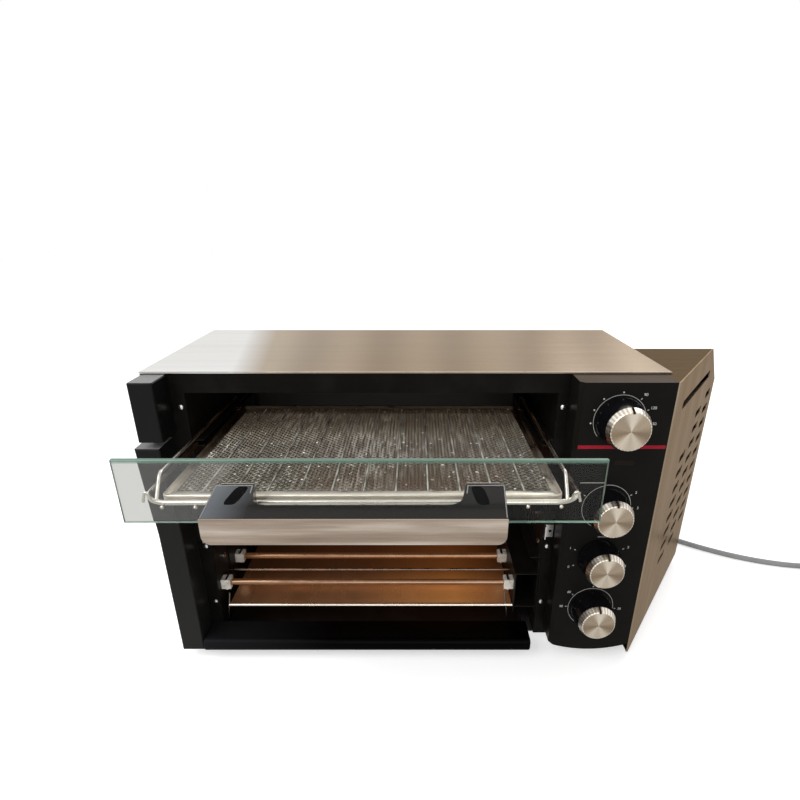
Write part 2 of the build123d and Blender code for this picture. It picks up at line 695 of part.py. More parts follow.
def fan_wheel(radius, width, x, count):
    """A stamped wheel: hub, thin disc and blades bent up from it."""
    wheel = rod_x(8, x, x + width, 0, 0) + rod_x(radius, x, x + SHEET, 0, 0)
    blade = block(x + SHEET / 2, x + width, FAN_BLADE_START, radius - 1, -SHEET / 2, SHEET / 2)
    blade = Rot(14, 0, 0) * blade
    blade &= rod_x(radius, x, x + width, 0, 0)
    wheel += [Rot(360 / count * step, 0, 0) * blade for step in range(count)]
    wheel -= rod_x(FAN_SHAFT_RADIUS, x - 1, x + width + 1, 0, 0)
    return Pos(0, FAN_Y, FAN_Z) * wheel


def control(name, z, width, height, depth):
    """A rotary control behind the frame: rounded body and two blade terminals."""
    back = FRAME_SHEET + depth
    bottom = z - height / 2
    body = block(KNOB_X - width / 2, KNOB_X + width / 2, FRAME_SHEET, back, bottom, z + height / 2)
    body = fillet(body.edges().filter_by(Axis.Y), 2.5)
    if name == "timer":
        body += rod_y(16, back, back + 8, KNOB_X, z)
    for x in (KNOB_X - 9, KNOB_X + 9):
        body += block(x - 3, x + 3, FRAME_SHEET, back + 14, bottom + 5, bottom + 6)
    reach = FRAME_SHEET + SHAFT_IN_CONTROL
    body -= rod_y(SHAFT_RADIUS + SHAFT_GAP, 0, reach + SLIDE_GAP, KNOB_X, z)
    return body


def knob(z, radius):
    """Skirt, pointer-grooved metal cap and shaft of one knob, pointing up."""
    back = -NOSE_DEPTH - KNOB_FASCIA_GAP
    waist = back - KNOB_SKIRT_LENGTH
    nose = waist - KNOB_CAP_LENGTH
    flange = radius + 2
    skirt = outline([(0, back), (flange, back), (flange, back - 2), (radius - 0.4, waist), (0, waist)])
    skirt = revolve(skirt, Axis.Y)
    skirt -= rod_y(SHAFT_RADIUS, back - SHAFT_IN_KNOB, back + 1, 0, 0)
    cap = outline([
        (0, waist),
        (radius, waist),
        (radius, waist - 1),
        (radius - 2.2, nose + 0.6),
        (radius - 3, nose),
        (0, nose),
    ])
    cap = revolve(cap, Axis.Y)
    cap -= block(-1.1, 1.1, nose - 1, waist + 1, radius - 4, radius + 1)
    shaft = rod_y(SHAFT_RADIUS, back - SHAFT_IN_KNOB, FRAME_SHEET + SHAFT_IN_CONTROL, 0, 0)
    return [Pos(KNOB_X, 0, z) * piece for piece in (skirt, cap, shaft)]


def controls():
    for name, (z, radius, width, height, depth) in CONTROLS.items():
        skirt, cap, shaft = knob(z, radius)
        export_piece(skirt, f"{name}_knob")
        export_piece(cap, f"{name}_knob_cap")
        export_piece(shaft, f"{name}_shaft")
        export_piece(control(name, z, width, height, depth), f"{name}_control")


def glass_front():
    """Toughened glass strip with ground edges and a bolt hole for each handle post."""
    glass = block(-GLASS_HALF, GLASS_HALF, GLASS_FRONT, GLASS_BACK, GLASS_BOTTOM, GLASS_TOP)
    glass = chamfer(glass.edges().filter_by(Axis.X), 0.5)
    for x in (-HANDLE_SCREW_X, HANDLE_SCREW_X):
        glass -= rod_y(BOLT_HOLE_RADIUS, GLASS_FRONT - 1, GLASS_BACK + 1, x, HANDLE_MIDDLE)
    export_piece(glass, "glass_front")


def handle_plan(half_front, half_back, front):
    """Plan of a trapezoid that widens from the grip back to the glass."""
    return outline([
        (-half_back, GLASS_FRONT),
        (-half_front, front),
        (half_front, front),
        (half_back, GLASS_FRONT),
    ])


def handle():
    """U-shaped moulded handle, its bright face strip and the two through bolts."""
    nose = GLASS_FRONT - HANDLE_REACH
    front = nose + HANDLE_FACE_THICK
    hollow = handle_plan(HANDLE_GRIP_HALF, HANDLE_GRIP_HALF + 6, nose + HANDLE_BAR_DEPTH)
    hollow = fillet(hollow.vertices().sort_by(Axis.Y)[:2], HANDLE_GRIP_RADIUS)
    bar = handle_plan(HANDLE_HALF, HANDLE_BACK_HALF, front) - hollow
    bar = along_z(bar, HANDLE_BOTTOM, HANDLE_TOP)
    bar = fillet(bar.edges().filter_by(Axis.X).sort_by(Axis.Y)[:2], 1.0)
    strip = Pos(0, HANDLE_MIDDLE) * Rectangle(2 * HANDLE_HALF, HANDLE_HEIGHT)
    strip = fillet(strip.vertices().sort_by(Axis.Y)[:2], HANDLE_FACE_RADIUS)
    bolts = []
    for x in (-HANDLE_SCREW_X, HANDLE_SCREW_X):
        bar -= rod_y(HANDLE_SCREW_RADIUS, GLASS_FRONT - HANDLE_THREAD, GLASS_FRONT + 1, x, HANDLE_MIDDLE)
        bolt = rod_y(HANDLE_SCREW_RADIUS, GLASS_FRONT - HANDLE_THREAD + 1, BRACKET_BACK, x, HANDLE_MIDDLE)
        bolts.append(bolt + rod_y(4.4, BRACKET_BACK, BRACKET_BACK + 2.6, x, HANDLE_MIDDLE))
    export_piece(bar, "handle_bar")
    export_piece(along_y(strip, nose, front), "handle_face")
    export_piece(Compound(children=bolts), "handle_bolts")


def rack_frame(front):
    """Outer wire: round the front corners, back along both sides, closed at the back."""
    loop = RectangleRounded(2 * RACK_HALF, RACK_BACK - front, RACK_CORNER)
    loop = Pos(0, (front + RACK_BACK) / 2, RACK_Z) * loop
    path = loop.face().outer_wire()
    section = Plane(origin=path @ 0, z_dir=path % 0) * Circle(RACK_WIRE)
    return sweep(section, path=path)


def guard_wire(side, front):
    """Raised side wire that keeps the crisper tray between the two sides."""
    x = side * GUARD_HALF
    base = RACK_Z + 0.5
    top = RACK_Z + GUARD_RISE
    path = FilletPolyline(
        (x, front + 2, base),
        (x, front + 2 + GUARD_SLOPE, top),
        (x, RACK_BACK - 2 - GUARD_SLOPE, top),
        (x, RACK_BACK - 2, base),
        radius=8,
    )
    return wire_along(path, GUARD_WIRE)


def tray_stop(side, front):
    """Small upright V of wire beside the tray's front corner."""
    x = side * (RACK_HALF + GUARD_HALF) / 2
    path = FilletPolyline(
        (x - STOP_HALF, front, RACK_Z + 0.5),
        (x, front, RACK_Z + STOP_RISE),
        (x + STOP_HALF, front, RACK_Z + 0.5),
        radius=STOP_WIRE + 0.3,
    )
    return wire_along(path, STOP_WIRE)


def wire_rack():
    """Welded rack: outer wire, grid wires under it, side guards and the two glass brackets."""
    front = BRACKET_BACK + RACK_WIRE
    rack = rack_frame(front)
    grid_z = RACK_Z - RACK_WIRE - GRID_WIRE + GRID_WELD
    for step in range(GRID_COUNT):
        x = (step - (GRID_COUNT - 1) / 2) * GRID_PITCH
        rack += rod_y(GRID_WIRE, front - 1.5, RACK_BACK + 1.5, x, grid_z)
    for side in (-1, 1):
        rack += guard_wire(side, front)
        rack += tray_stop(side, front)
        rack += glass_bracket(side, front)
    export_piece(rack, "wire_rack")


def glass_bracket(side, front):
    """Plate behind the glass with a tongue that is welded under the rack's front wire."""
    x0 = side * HANDLE_SCREW_X - BRACKET_HALF
    x1 = side * HANDLE_SCREW_X + BRACKET_HALF
    tongue = RACK_Z - 7
    plate = block(x0, x1, GLASS_BACK, BRACKET_BACK, tongue, HANDLE_TOP)
    plate += block(x0, x1, GLASS_BACK, front + 6, tongue, tongue + BRACKET_SHEET)
    plate += block(x0, x1, GLASS_BACK, front, RACK_Z - 1, RACK_Z + 1)
    plate -= rod_y(BOLT_HOLE_RADIUS, GLASS_BACK - 1, front, side * HANDLE_SCREW_X, HANDLE_MIDDLE)
    return plate


def tray_block(inset, low, high):
    """The crisper tray's rounded plan, inset from its outside."""
    solid = block(inset - TRAY_HALF, TRAY_HALF - inset, TRAY_FRONT + inset, TRAY_BACK - inset, low, high)
    return fillet(solid.edges().filter_by(Axis.Z), TRAY_CORNER - inset)


def crisper_tray():
    """Shallow slotted tray that lies on the rack's grid wires, with a turned-up rim."""
    floor = RACK_Z - RACK_WIRE + GRID_WELD
    tray = tray_block(0, floor, floor + TRAY_RIM)
    tray -= tray_block(TRAY_SHEET, floor + TRAY_SHEET, floor + TRAY_RIM + 1)
    long = (TRAY_BACK - TRAY_FRONT - 2 * TRAY_BORDER + TRAY_WEB) / TRAY_SLOT_ROWS
    wide = (2 * (TRAY_HALF - TRAY_BORDER) + TRAY_WEB) / TRAY_SLOT_COLUMNS
    first_x = -(TRAY_SLOT_COLUMNS - 1) / 2 * wide
    first_y = (TRAY_FRONT + TRAY_BACK) / 2 - (TRAY_SLOT_ROWS - 1) / 2 * long
    openings = Sketch() + [
        Pos(first_x + column * wide, first_y + row * long) * Rectangle(wide - TRAY_WEB, long - TRAY_WEB)
        for column in range(TRAY_SLOT_COLUMNS)
        for row in range(TRAY_SLOT_ROWS)
    ]
    tray -= along_z(openings, floor - 1, floor + TRAY_SHEET + 1)
    export_piece(tray, "crisper_tray")


def crumb_tray():
    """Pull-out pan on the base plate, and the black front that closes the casing's foot."""
    bottom = BASE_TOP + SLIDE_GAP
    pan = block(-CRUMB_LEFT, CRUMB_RIGHT, -SLIDE_GAP, CRUMB_DEPTH, bottom, bottom + CRUMB_RIM)
    pan = fillet(pan.edges().filter_by(Axis.Z).sort_by(Axis.Y)[-2:], CRUMB_CORNER)
    inside = bottom + SHEET
    back = CRUMB_DEPTH - SHEET
    hollow = block(SHEET - CRUMB_LEFT, CRUMB_RIGHT - SHEET, SHEET, back, inside, inside + CRUMB_RIM)
    hollow = fillet(hollow.edges().filter_by(Axis.Z).sort_by(Axis.Y)[-2:], CRUMB_CORNER - SHEET)
    front = block(SLIDE_GAP - POST_INNER, SILL_RIGHT, -SILL_DEPTH, -SLIDE_GAP, POST_FOOT - 1.5, SILL_TOP)
    nose = front.edges().filter_by(Axis.X).sort_by(Axis.Y)[:2]
    front = fillet(nose, SILL_RADIUS)
    front = fillet(front.edges().filter_by(Axis.Z).sort_by(Axis.Y)[:2], 2.0)
    export_piece(pan - hollow, "crumb_tray")
    export_piece(front, "crumb_tray_front")


def cord_gland():
    """Moulded strain relief, clipped into the control-side panel and tapering outwards."""
    inside = SKIN_RIGHT - 6
    end = CASING_RIGHT + GLAND_LENGTH
    profile = outline([
        (inside, 0),
        (inside, 9),
        (SKIN_RIGHT, 9),
        (SKIN_RIGHT, CORD_RADIUS + 2.3),
        (CASING_RIGHT, CORD_RADIUS + 2.3),
        (CASING_RIGHT, 9),
        (CASING_RIGHT + 4, 9),
        (CASING_RIGHT + 5, 7),
        (end, CORD_RADIUS + 0.6),
        (end, 0),
    ])
    export_piece(Pos(0, CORD_Y, CORD_Z) * revolve(profile, Axis.X), "cord_gland")


def power_cord():
    """Free stretch: out of the strain relief, down to the table and round to the coil."""
    floor = CORD_RADIUS + CORD_LIFT
    coil_x, coil_y = COIL_CENTRE
    route = [
        (CASING_RIGHT + GLAND_LENGTH, CORD_Y, CORD_Z),
        (322, CORD_Y, CORD_Z),
        (346, 216, 22),
        (374, 221, floor),
        (404, 218, floor),
        (435, 192, floor),
        (474, 167, floor),
        (512, 151, floor),
        (549, coil_y + COIL_RADIUS, floor),
        (coil_x, coil_y + COIL_RADIUS, floor),
    ]
    points = [Vector(*point) for point in route]
    radii = []
    for before, corner, after in zip(points, points[1:], points[2:]):
        turn = math.radians((corner - before).get_angle(after - corner))
        shorter = min((corner - before).length, (after - corner).length)
        radii.append(0.45 * shorter / math.tan(turn / 2))
    path = FilletPolyline(*points, radius=radii)
    tube = wire_along(path, CORD_RADIUS)
    print("cord radii", [round(radius, 1) for radius in radii], "length", round(path.length, 1))
    solid = math.pi * CORD_RADIUS**2 * path.length
    print("cord volume", round(tube.volume), "section times length", round(solid))
    export_piece(tube, "power_cord")


def climbing_half_turn(start, end, heading):
    """Two tangent quarter turns that climb one layer."""
    middle = (start + end) / 2
    half = (end - start).length / 2
    top = middle + Vector(heading, 0, 0) * half
    first = TangentArc(start, top, tangent=Vector(heading, 0, 0))
    second = TangentArc(top, end, tangent=first % 1)
    return [first, second]


def cord_coil():
    """Put-away lead: half turns that spiral in, climb one layer and spiral out again."""
    centre_x, centre_y = COIL_CENTRE
    height = CORD_RADIUS + CORD_LIFT
    point = Vector(centre_x, centre_y + COIL_RADIUS, height)
    radius = COIL_RADIUS
    side = 1
    arcs = []
    for half_turn in range(COIL_HALF_TURNS):
        climbing = half_turn == COIL_HALF_TURNS // 2
        rise = COIL_LAYER if climbing else 0
        end = point + Vector(0, -2 * side * radius, rise)
        if climbing:
            arcs += climbing_half_turn(point, end, side)
        else:
            arcs.append(ThreePointArc(point, (point + end) / 2 + Vector(side * radius, 0, 0), end))
        point = end
        side = -side
        radius += COIL_STEP / 2 if half_turn >= COIL_HALF_TURNS // 2 else -COIL_STEP / 2
    tail = Line(point, point - Vector(COIL_TAIL, 0, 0))
    path = Wire(arcs + [tail])
    print("coil length", round(path.length, 1), "least gap to itself", round(coil_gap(path), 2))
    export_piece(wire_along(path, CORD_RADIUS), "power_cord_coil")
    return point - Vector(COIL_TAIL, 0, 0)


def coil_gap(path):
    """Least clear distance between turns, from points along the path."""
    count = 420
    points = [path @ (step / count) for step in range(count + 1)]
    apart = int(count * 3 * COIL_STEP / path.length)
    return min(
        (points[i] - points[j]).length - 2 * CORD_RADIUS
        for i in range(count + 1)
        for j in range(i + apart, count + 1)
    )


def mains_plug(end):
    """Moulded plug that lies on the table beside the coil, with two flat pins."""
    body = block(-PLUG_LENGTH, -PLUG_NECK, -PLUG_HALF_WIDTH, PLUG_HALF_WIDTH, -PLUG_RADIUS, PLUG_RADIUS)
    body = fillet(body.edges().filter_by(Axis.X), 6)
    body = fillet(body.faces().sort_by(Axis.X)[-1].edges(), 4)
    neck = outline([(0, 0), (0, CORD_RADIUS + 1), (-PLUG_NECK - 1, CORD_RADIUS + 4), (-PLUG_NECK - 1, 0)])
    body += revolve(neck, Axis.X)
    pin = Pos(-PLUG_LENGTH - PIN_LENGTH / 2, 0, 0) * Box(PIN_LENGTH, PIN_THICK, PIN_WIDTH)
    pin = chamfer(pin.edges().filter_by(Axis.Z).sort_by(Axis.X)[:2], 0.5)
    pins = [Pos(end.X, end.Y + side * PIN_SPACING / 2, end.Z) * pin for side in (-1, 1)]
    export_piece(Pos(end.X, end.Y, end.Z) * body, "mains_plug")
    export_piece(Compound(children=pins), "plug_pins")


os.makedirs("parts", exist_ok=True)
top_cover()
side_panels()
back_panel()
base_plate()
feet()
front_frame()
frame_screws()
left_posts()
control_fascia()
pod_side_panel()
pod_shell()
cavity_liner()
side_racks()
heaters()
bottom_reflector()
catch_plate()
fan_unit()
controls()
glass_front()
handle()
wire_rack()
crisper_tray()
crumb_tray()
cord_gland()
power_cord()
mains_plug(cord_coil())
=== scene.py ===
import math

import bmesh
import bpy
from mathutils import Matrix, Vector

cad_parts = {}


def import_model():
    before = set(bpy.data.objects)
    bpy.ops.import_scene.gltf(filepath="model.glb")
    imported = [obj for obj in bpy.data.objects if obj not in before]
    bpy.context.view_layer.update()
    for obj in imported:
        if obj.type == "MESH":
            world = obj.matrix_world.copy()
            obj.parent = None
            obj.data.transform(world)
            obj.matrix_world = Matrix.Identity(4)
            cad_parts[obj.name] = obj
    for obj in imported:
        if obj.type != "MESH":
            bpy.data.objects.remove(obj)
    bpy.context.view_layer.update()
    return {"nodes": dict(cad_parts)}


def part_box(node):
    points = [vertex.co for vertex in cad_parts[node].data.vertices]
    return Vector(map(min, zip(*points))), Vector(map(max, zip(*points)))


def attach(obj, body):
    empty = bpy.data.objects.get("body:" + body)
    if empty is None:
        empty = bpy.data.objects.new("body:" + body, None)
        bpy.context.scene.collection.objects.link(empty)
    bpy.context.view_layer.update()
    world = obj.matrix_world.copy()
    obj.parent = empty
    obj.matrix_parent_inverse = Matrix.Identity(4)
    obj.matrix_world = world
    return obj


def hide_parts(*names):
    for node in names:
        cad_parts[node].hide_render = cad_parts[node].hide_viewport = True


bl_info = {
    "name": "Air Fryer Oven Dressing",
    "version": (1, 0, 0),
    "blender": (4, 5, 0),
    "location": "View3D > Sidebar > Oven",
    "description": "Finishes and fine pieces for a countertop air fryer oven",
    "category": "Object",
}

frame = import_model()
NODES = frame["nodes"]

MM = 0.001
DRAWER_MIDDLE = sum(corner.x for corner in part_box("glass_front")) / 2
FRAME_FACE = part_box("front_frame")[0].y
FASCIA_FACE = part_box("control_fascia")[0].y
DIALS = ("temperature", "function", "element", "timer")
# The rack's grid wires: how many, how far apart, and how high their front ends are.
GRID_WIRES = 13
GRID_PITCH = 24.6 * MM
GRID_HEIGHT = 227.6 * MM
# How far print stands off the fascia, and how deep brushing goes.
PRINT_DEPTH = 0.12 * MM
BRUSHING = 0.04 * MM
# Noise for the wear on mouldings: patches a metre, detail.
WEAR = (22.0, 4.0)
WHITE = (1.0, 1.0, 1.0)


def spot(x, y, z):
    """A place in millimetres from the drawer's centre line, the frame's face and the table."""
    return Vector((DRAWER_MIDDLE + x * MM, FRAME_FACE + y * MM, z * MM))


def middle(node):
    """The middle of a CAD node's box."""
    low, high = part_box(node)
    return (low + high) / 2


class Recipe:
    """A node material being put together. Its coordinates are the piece's own, in metres."""

    def __init__(self, name, colour, roughness, metallic=0.0, gloss=None, glancing=None):
        self.material = bpy.data.materials.new(f"oven_{name}")
        self.material.use_nodes = True
        self.tree = self.material.node_tree
        self.shader = self.tree.nodes["Principled BSDF"]
        self.output = self.tree.nodes["Material Output"]
        self.place = self.node("ShaderNodeTexCoord").outputs["Object"]
        self.set("Base Color", (*colour, 1.0))
        self.set("Roughness", roughness)
        self.set("Metallic", metallic)
        if gloss is not None:
            self.set("Specular IOR Level", gloss)
        if glancing is not None:
            self.set("Specular Tint", (*glancing, 1.0))

    def node(self, kind, **settings):
        """A new node with its own settings."""
        made = self.tree.nodes.new(kind)
        for name, value in settings.items():
            setattr(made, name, value)
        return made

    def join(self, value, socket):
        """Link another node's output to a socket, or write a number or a colour there."""
        if isinstance(value, bpy.types.NodeSocket):
            self.tree.links.new(value, socket)
        elif isinstance(value, (int, float)):
            socket.default_value = value
        else:
            socket.default_value = (*value, 1.0)

    def set(self, socket, value):
        self.shader.inputs[socket].default_value = value

    def feed(self, socket, source):
        self.join(source, self.shader.inputs[socket])

    def stretched(self, scale):
        """The coordinates, multiplied by one number or by one for each axis."""
        mapping = self.node("ShaderNodeMapping")
        mapping.inputs["Scale"].default_value = scale if isinstance(scale, tuple) else (scale,) * 3
        self.join(self.place, mapping.inputs["Vector"])
        return mapping.outputs["Vector"]

    def noise(self, scale, detail):
        """Soft noise with so many patches a metre."""
        texture = self.node("ShaderNodeTexNoise")
        texture.inputs["Scale"].default_value = 1.0
        texture.inputs["Detail"].default_value = detail
        self.join(self.stretched(scale), texture.inputs["Vector"])
        return texture.outputs["Fac"]

    def maths(self, operation, first, second=0.0):
        """One arithmetic step on numbers or on other nodes' outputs."""
        step = self.node("ShaderNodeMath", operation=operation)
        self.join(first, step.inputs[0])
        self.join(second, step.inputs[1])
        return step.outputs["Value"]

    def part(self, vector, axis):
        """One coordinate of a place or a direction."""
        parts = self.node("ShaderNodeSeparateXYZ")
        self.join(vector, parts.inputs["Vector"])
        return parts.outputs[axis]

    def along(self, axis):
        """The coordinate along X, Y or Z, in metres."""
        return self.part(self.place, axis)

    def facing(self, axis):
        """How squarely the face looks along X, Y or Z: 1 is straight on, 0 is edge on."""
        normal = self.node("ShaderNodeTexCoord").outputs["Normal"]
        return self.maths("ABSOLUTE", self.part(normal, axis))

    def level(self, source, low, high, start=0.3, end=0.7):
        """A value that goes from low to high while the source goes from start to end."""
        span = self.node("ShaderNodeMapRange")
        names = ("Value", "From Min", "From Max", "To Min", "To Max")
        for name, value in zip(names, (source, start, end, low, high)):
            self.join(value, span.inputs[name])
        return span.outputs["Result"]

    def rise(self, source, start, end):
        """0 to 1 while the source goes from start to end."""
        return self.level(source, 0.0, 1.0, start, end)

    def reach(self, axis, start, end, low=0.0, high=1.0):
        """A value that goes from low to high between two coordinates on an axis."""
        return self.level(self.along(axis), low, high, start, end)

    def over(self, node, axis, low=0.0, high=1.0):
        """A value that goes from low to high along a CAD node's box."""
        start, end = (corner["XYZ".index(axis)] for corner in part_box(node))
        return self.reach(axis, start, end, low, high)

    def blend(self, kind, factor, first, second):
        """Two colours put together, each a colour or another node's output."""
        made = self.node("ShaderNodeMix", data_type="RGBA", blend_type=kind)
        sockets = [item for item in made.inputs if item.type == "RGBA"]
        for value, socket in zip((factor, first, second), (made.inputs["Factor"], *sockets)):
            self.join(value, socket)
        return [item for item in made.outputs if item.type == "RGBA"][0]

    def mix(self, factor, first, second):
        """A colour between two."""
        return self.blend("MIX", factor, first, second)

    def times(self, first, second):
        """Two colours multiplied."""
        return self.blend("MULTIPLY", 1.0, first, second)

    def bands(self, source, stops):
        """A colour ramp with (position, colour) stops."""
        ramp = self.node("ShaderNodeValToRGB")
        elements = ramp.color_ramp.elements
        for position, _ in stops[1:-1]:
            elements.new(position)
        for element, (position, colour) in zip(elements, stops):
            element.position = position
            element.color = (*colour, 1.0)
        self.join(source, ramp.inputs["Fac"])
        return ramp.outputs["Color"]

    def bump(self, height, depth, strength):
        """Relief of a depth in metres."""
        relief = self.node("ShaderNodeBump")
        relief.inputs["Strength"].default_value = strength
        relief.inputs["Distance"].default_value = depth
        self.join(height, relief.inputs["Height"])
        self.feed("Normal", relief.outputs["Normal"])

    def done(self, colour, rough=None, relief=None):
        """Feed the colour, the level of roughness and the relief; hand over the material."""
        self.feed("Base Color", colour)
        if rough:
            self.feed("Roughness", self.level(*rough))
        if relief:
            self.bump(*relief)
        return self.material


def brushed_cover(name):
    """Brushed steel of the casing, coloured in soft bands of painted reflection: near white at the left, then taupe,
    beige at the right.
    """
    colours = bpy.context.scene.oven_colours
    light, dark = tuple(colours.cover_bright_reflection), tuple(colours.cover_dark_reflection)
    recipe = Recipe(name, light, 0.3, 1.0, glancing=colours.cover_edge)
    # Painted reflection: pale, taupe and beige bands across the cover, fanned towards the back, with a soft ripple.
    off_centre = recipe.maths("SUBTRACT", recipe.over("top_cover", "X"), 0.5)
    fanned = recipe.maths("MULTIPLY", off_centre, recipe.over("top_cover", "Y", 1.0, 0.75))
    wander = recipe.level(recipe.noise((3.0, 1.2, 3.0), 1.0), -0.012, 0.012)
    across = recipe.maths("ADD", recipe.maths("ADD", fanned, 0.5), wander)
    pale = (1.4 * dark[0], 1.6 * dark[1], 1.9 * dark[2])
    beige = (1.38 * dark[0], 1.5 * dark[1], 1.7 * dark[2])
    taupe = recipe.bands(across, [(0.2, pale), (0.44, dark), (0.66, dark), (0.84, beige)])
    wave = recipe.maths("SINE", recipe.maths("ADD", recipe.maths("MULTIPLY", fanned, 45.0), 0.5))
    soft = recipe.mix(recipe.rise(wave, -1.0, 1.0), (0.88, 0.83, 0.80), (1.12, 1.09, 1.05))
    ground = recipe.mix(recipe.rise(across, 0.17, 0.23), light, recipe.times(taupe, soft))
    streak = recipe.mix(recipe.noise((1.5, 60.0, 60.0), 2.0), (0.86, 0.86, 0.86), WHITE)
    grain = recipe.noise((6.0, 2600.0, 2600.0), 2.0)
    return recipe.done(recipe.times(ground, streak), (grain, 0.26, 0.42), (grain, BRUSHING, 0.35))


def brushed_pod(name):
    """Brushed steel of the splayed side, with warm upright streaks of painted reflection."""
    colours = bpy.context.scene.oven_colours
    recipe = Recipe(name, colours.cover_bright_reflection, 0.32, 1.0, glancing=(0.60, 0.50, 0.40))
    # Painted reflection: warm upright streaks.
    tones = [(0.28, (0.47, 0.39, 0.305)), (0.48, (0.345, 0.265, 0.185)), (0.68, (0.44, 0.36, 0.28))]
    warm = recipe.bands(recipe.noise((12.0, 22.0, 2.6), 2.0), tones)
    grain = recipe.noise((900.0, 900.0, 9.0), 2.0)
    return recipe.done(warm, (grain, 0.26, 0.42), (grain, BRUSHING, 0.3))


def zinc_sheet(name):
    """Plain zinc-plated sheet with a faint spangle."""
    recipe = Recipe(name, (0.55, 0.56, 0.57), 0.42, 1.0)
    cells = recipe.node("ShaderNodeTexVoronoi")
    cells.inputs["Scale"].default_value = 1.0
    recipe.join(recipe.stretched(90.0), cells.inputs["Vector"])
    spangle = recipe.node("ShaderNodeSeparateColor")
    recipe.join(cells.outputs["Color"], spangle.inputs["Color"])
    tone = spangle.outputs[0]
    return recipe.done(recipe.mix(tone, (0.52, 0.53, 0.54), (0.60, 0.61, 0.62)), (tone, 0.34, 0.5, 0.0, 1.0))


def two_tone(name, colour, roughness, tones, patches, span=(0.0, 1.0), rough=None, relief=None, **settings):
    """A finish that wanders between two tones in patches, as its roughness does, with a fine relief."""
    recipe = Recipe(name, colour, roughness, **settings)
    patch = recipe.noise(*patches)
    if rough:
        rough = (patch, *rough)
    if relief:
        relief = (recipe.noise(*relief[:2]), *relief[2:])
    return recipe.done(recipe.mix(recipe.rise(patch, *span), *tones), rough, relief)


def moulding(name, colour, roughness, gloss, grain=1500.0):
    """Moulded plastic with a fine grain, worn a little smoother in patches."""
    lighter = tuple(min(1.0, part * 1.5 + 0.003) for part in colour)
    rough = (roughness * 0.85, roughness * 1.15)
    relief = (grain, 2.0, 0.06 * MM, 0.3)
    return two_tone(name, colour, roughness, (colour, lighter), WEAR, rough=rough, relief=relief, gloss=gloss)


def enamel(name, colour, roughness, gloss):
    """Baked paint on sheet metal, with slight orange peel."""
    lighter = tuple(part * 1.7 + 0.002 for part in colour)
    rough = (roughness * 0.9, roughness * 1.2)
    peel = (420.0, 2.0, 0.05 * MM, 0.25)
    return two_tone(name, colour, roughness, (colour, lighter), (35.0, 5.0), (0.45, 0.8), rough, peel, gloss=gloss)


def plated(name, colour, roughness, heat=None, painted_shade_node=None):
    """Bright plating with faint streaks, tinted by heat; given a node, painted shade darkens and browns it towards that
    node's back.
    """
    recipe = Recipe(name, colour, roughness, 1.0)
    patch = recipe.noise(60.0, 4.0)
    tint = recipe.mix(recipe.rise(patch, 0.3, 0.7), colour, heat or tuple(0.8 * part for part in colour))
    if painted_shade_node:
        # Painted shade: darker and browner towards the node's back.
        painted_shade_stops = [(0.1, WHITE), (0.45, (0.5, 0.44, 0.38)), (0.8, (0.16, 0.13, 0.10))]
        tint = recipe.times(tint, recipe.bands(recipe.over(painted_shade_node, "Y"), painted_shade_stops))
    return recipe.done(tint, (patch, roughness * 0.7, roughness * 1.5))


def knob_cap(name):
    """Turned cap: a painted sheen fans out from the middle of its face, inside a bevel striped with painted glints."""
    recipe = Recipe(name, (0.6, 0.52, 0.42), 0.3, 1.0)
    centre = middle(name.replace("_cap", "_knob_cap"))
    sideways = recipe.maths("SUBTRACT", recipe.along("X"), centre.x)
    upwards = recipe.maths("SUBTRACT", recipe.along("Z"), centre.z)
    angle = recipe.maths("ARCTAN2", sideways, upwards)
    # Painted sheen on the face and painted glints on the bevel, set by angle round the cap.
    broad, narrow, fine = (recipe.maths("COSINE", recipe.maths("MULTIPLY", angle, count)) for count in (2.0, 5.0, 34.0))
    fan = recipe.maths("ADD", broad, recipe.maths("MULTIPLY", narrow, 0.45))
    tones = [(0.0, (0.29, 0.22, 0.15)), (0.5, (0.48, 0.395, 0.295)), (1.0, (0.86, 0.77, 0.64))]
    face = recipe.bands(recipe.rise(fan, -1.3, 1.3), tones)
    bevel = recipe.mix(recipe.rise(fine, -0.6, 0.6), (0.62, 0.53, 0.42), (0.95, 0.91, 0.83))
    tangent = recipe.node("ShaderNodeTangent", direction_type="RADIAL", axis="Y")
    recipe.set("Anisotropic", 0.6)
    recipe.feed("Tangent", tangent.outputs["Tangent"])
    flat = recipe.rise(recipe.facing("Y"), 0.97, 0.995)
    return recipe.done(recipe.mix(flat, bevel, face), (recipe.noise((2400.0, 300.0, 2400.0), 2.0), 0.24, 0.34))


def handle_steel(name):
    """Brushed strip on the handle: long light and dark streaks from end to end, painted reflections along the brushing.
    """
    recipe = Recipe(name, (0.76, 0.70, 0.64), 0.3, 1.0)
    tones = [(0.28, (0.31, 0.245, 0.195)), (0.5, (0.47, 0.38, 0.305)), (0.72, (0.76, 0.68, 0.59))]
    # Painted reflection: light and dark streaks along the strip.
    streaks = recipe.bands(recipe.noise((9.0, 500.0, 140.0), 3.0), tones)
    hair = recipe.noise((14.0, 3000.0, 3000.0), 2.0)
    return recipe.done(streaks, (hair, 0.22, 0.36), (hair, BRUSHING, 0.35))


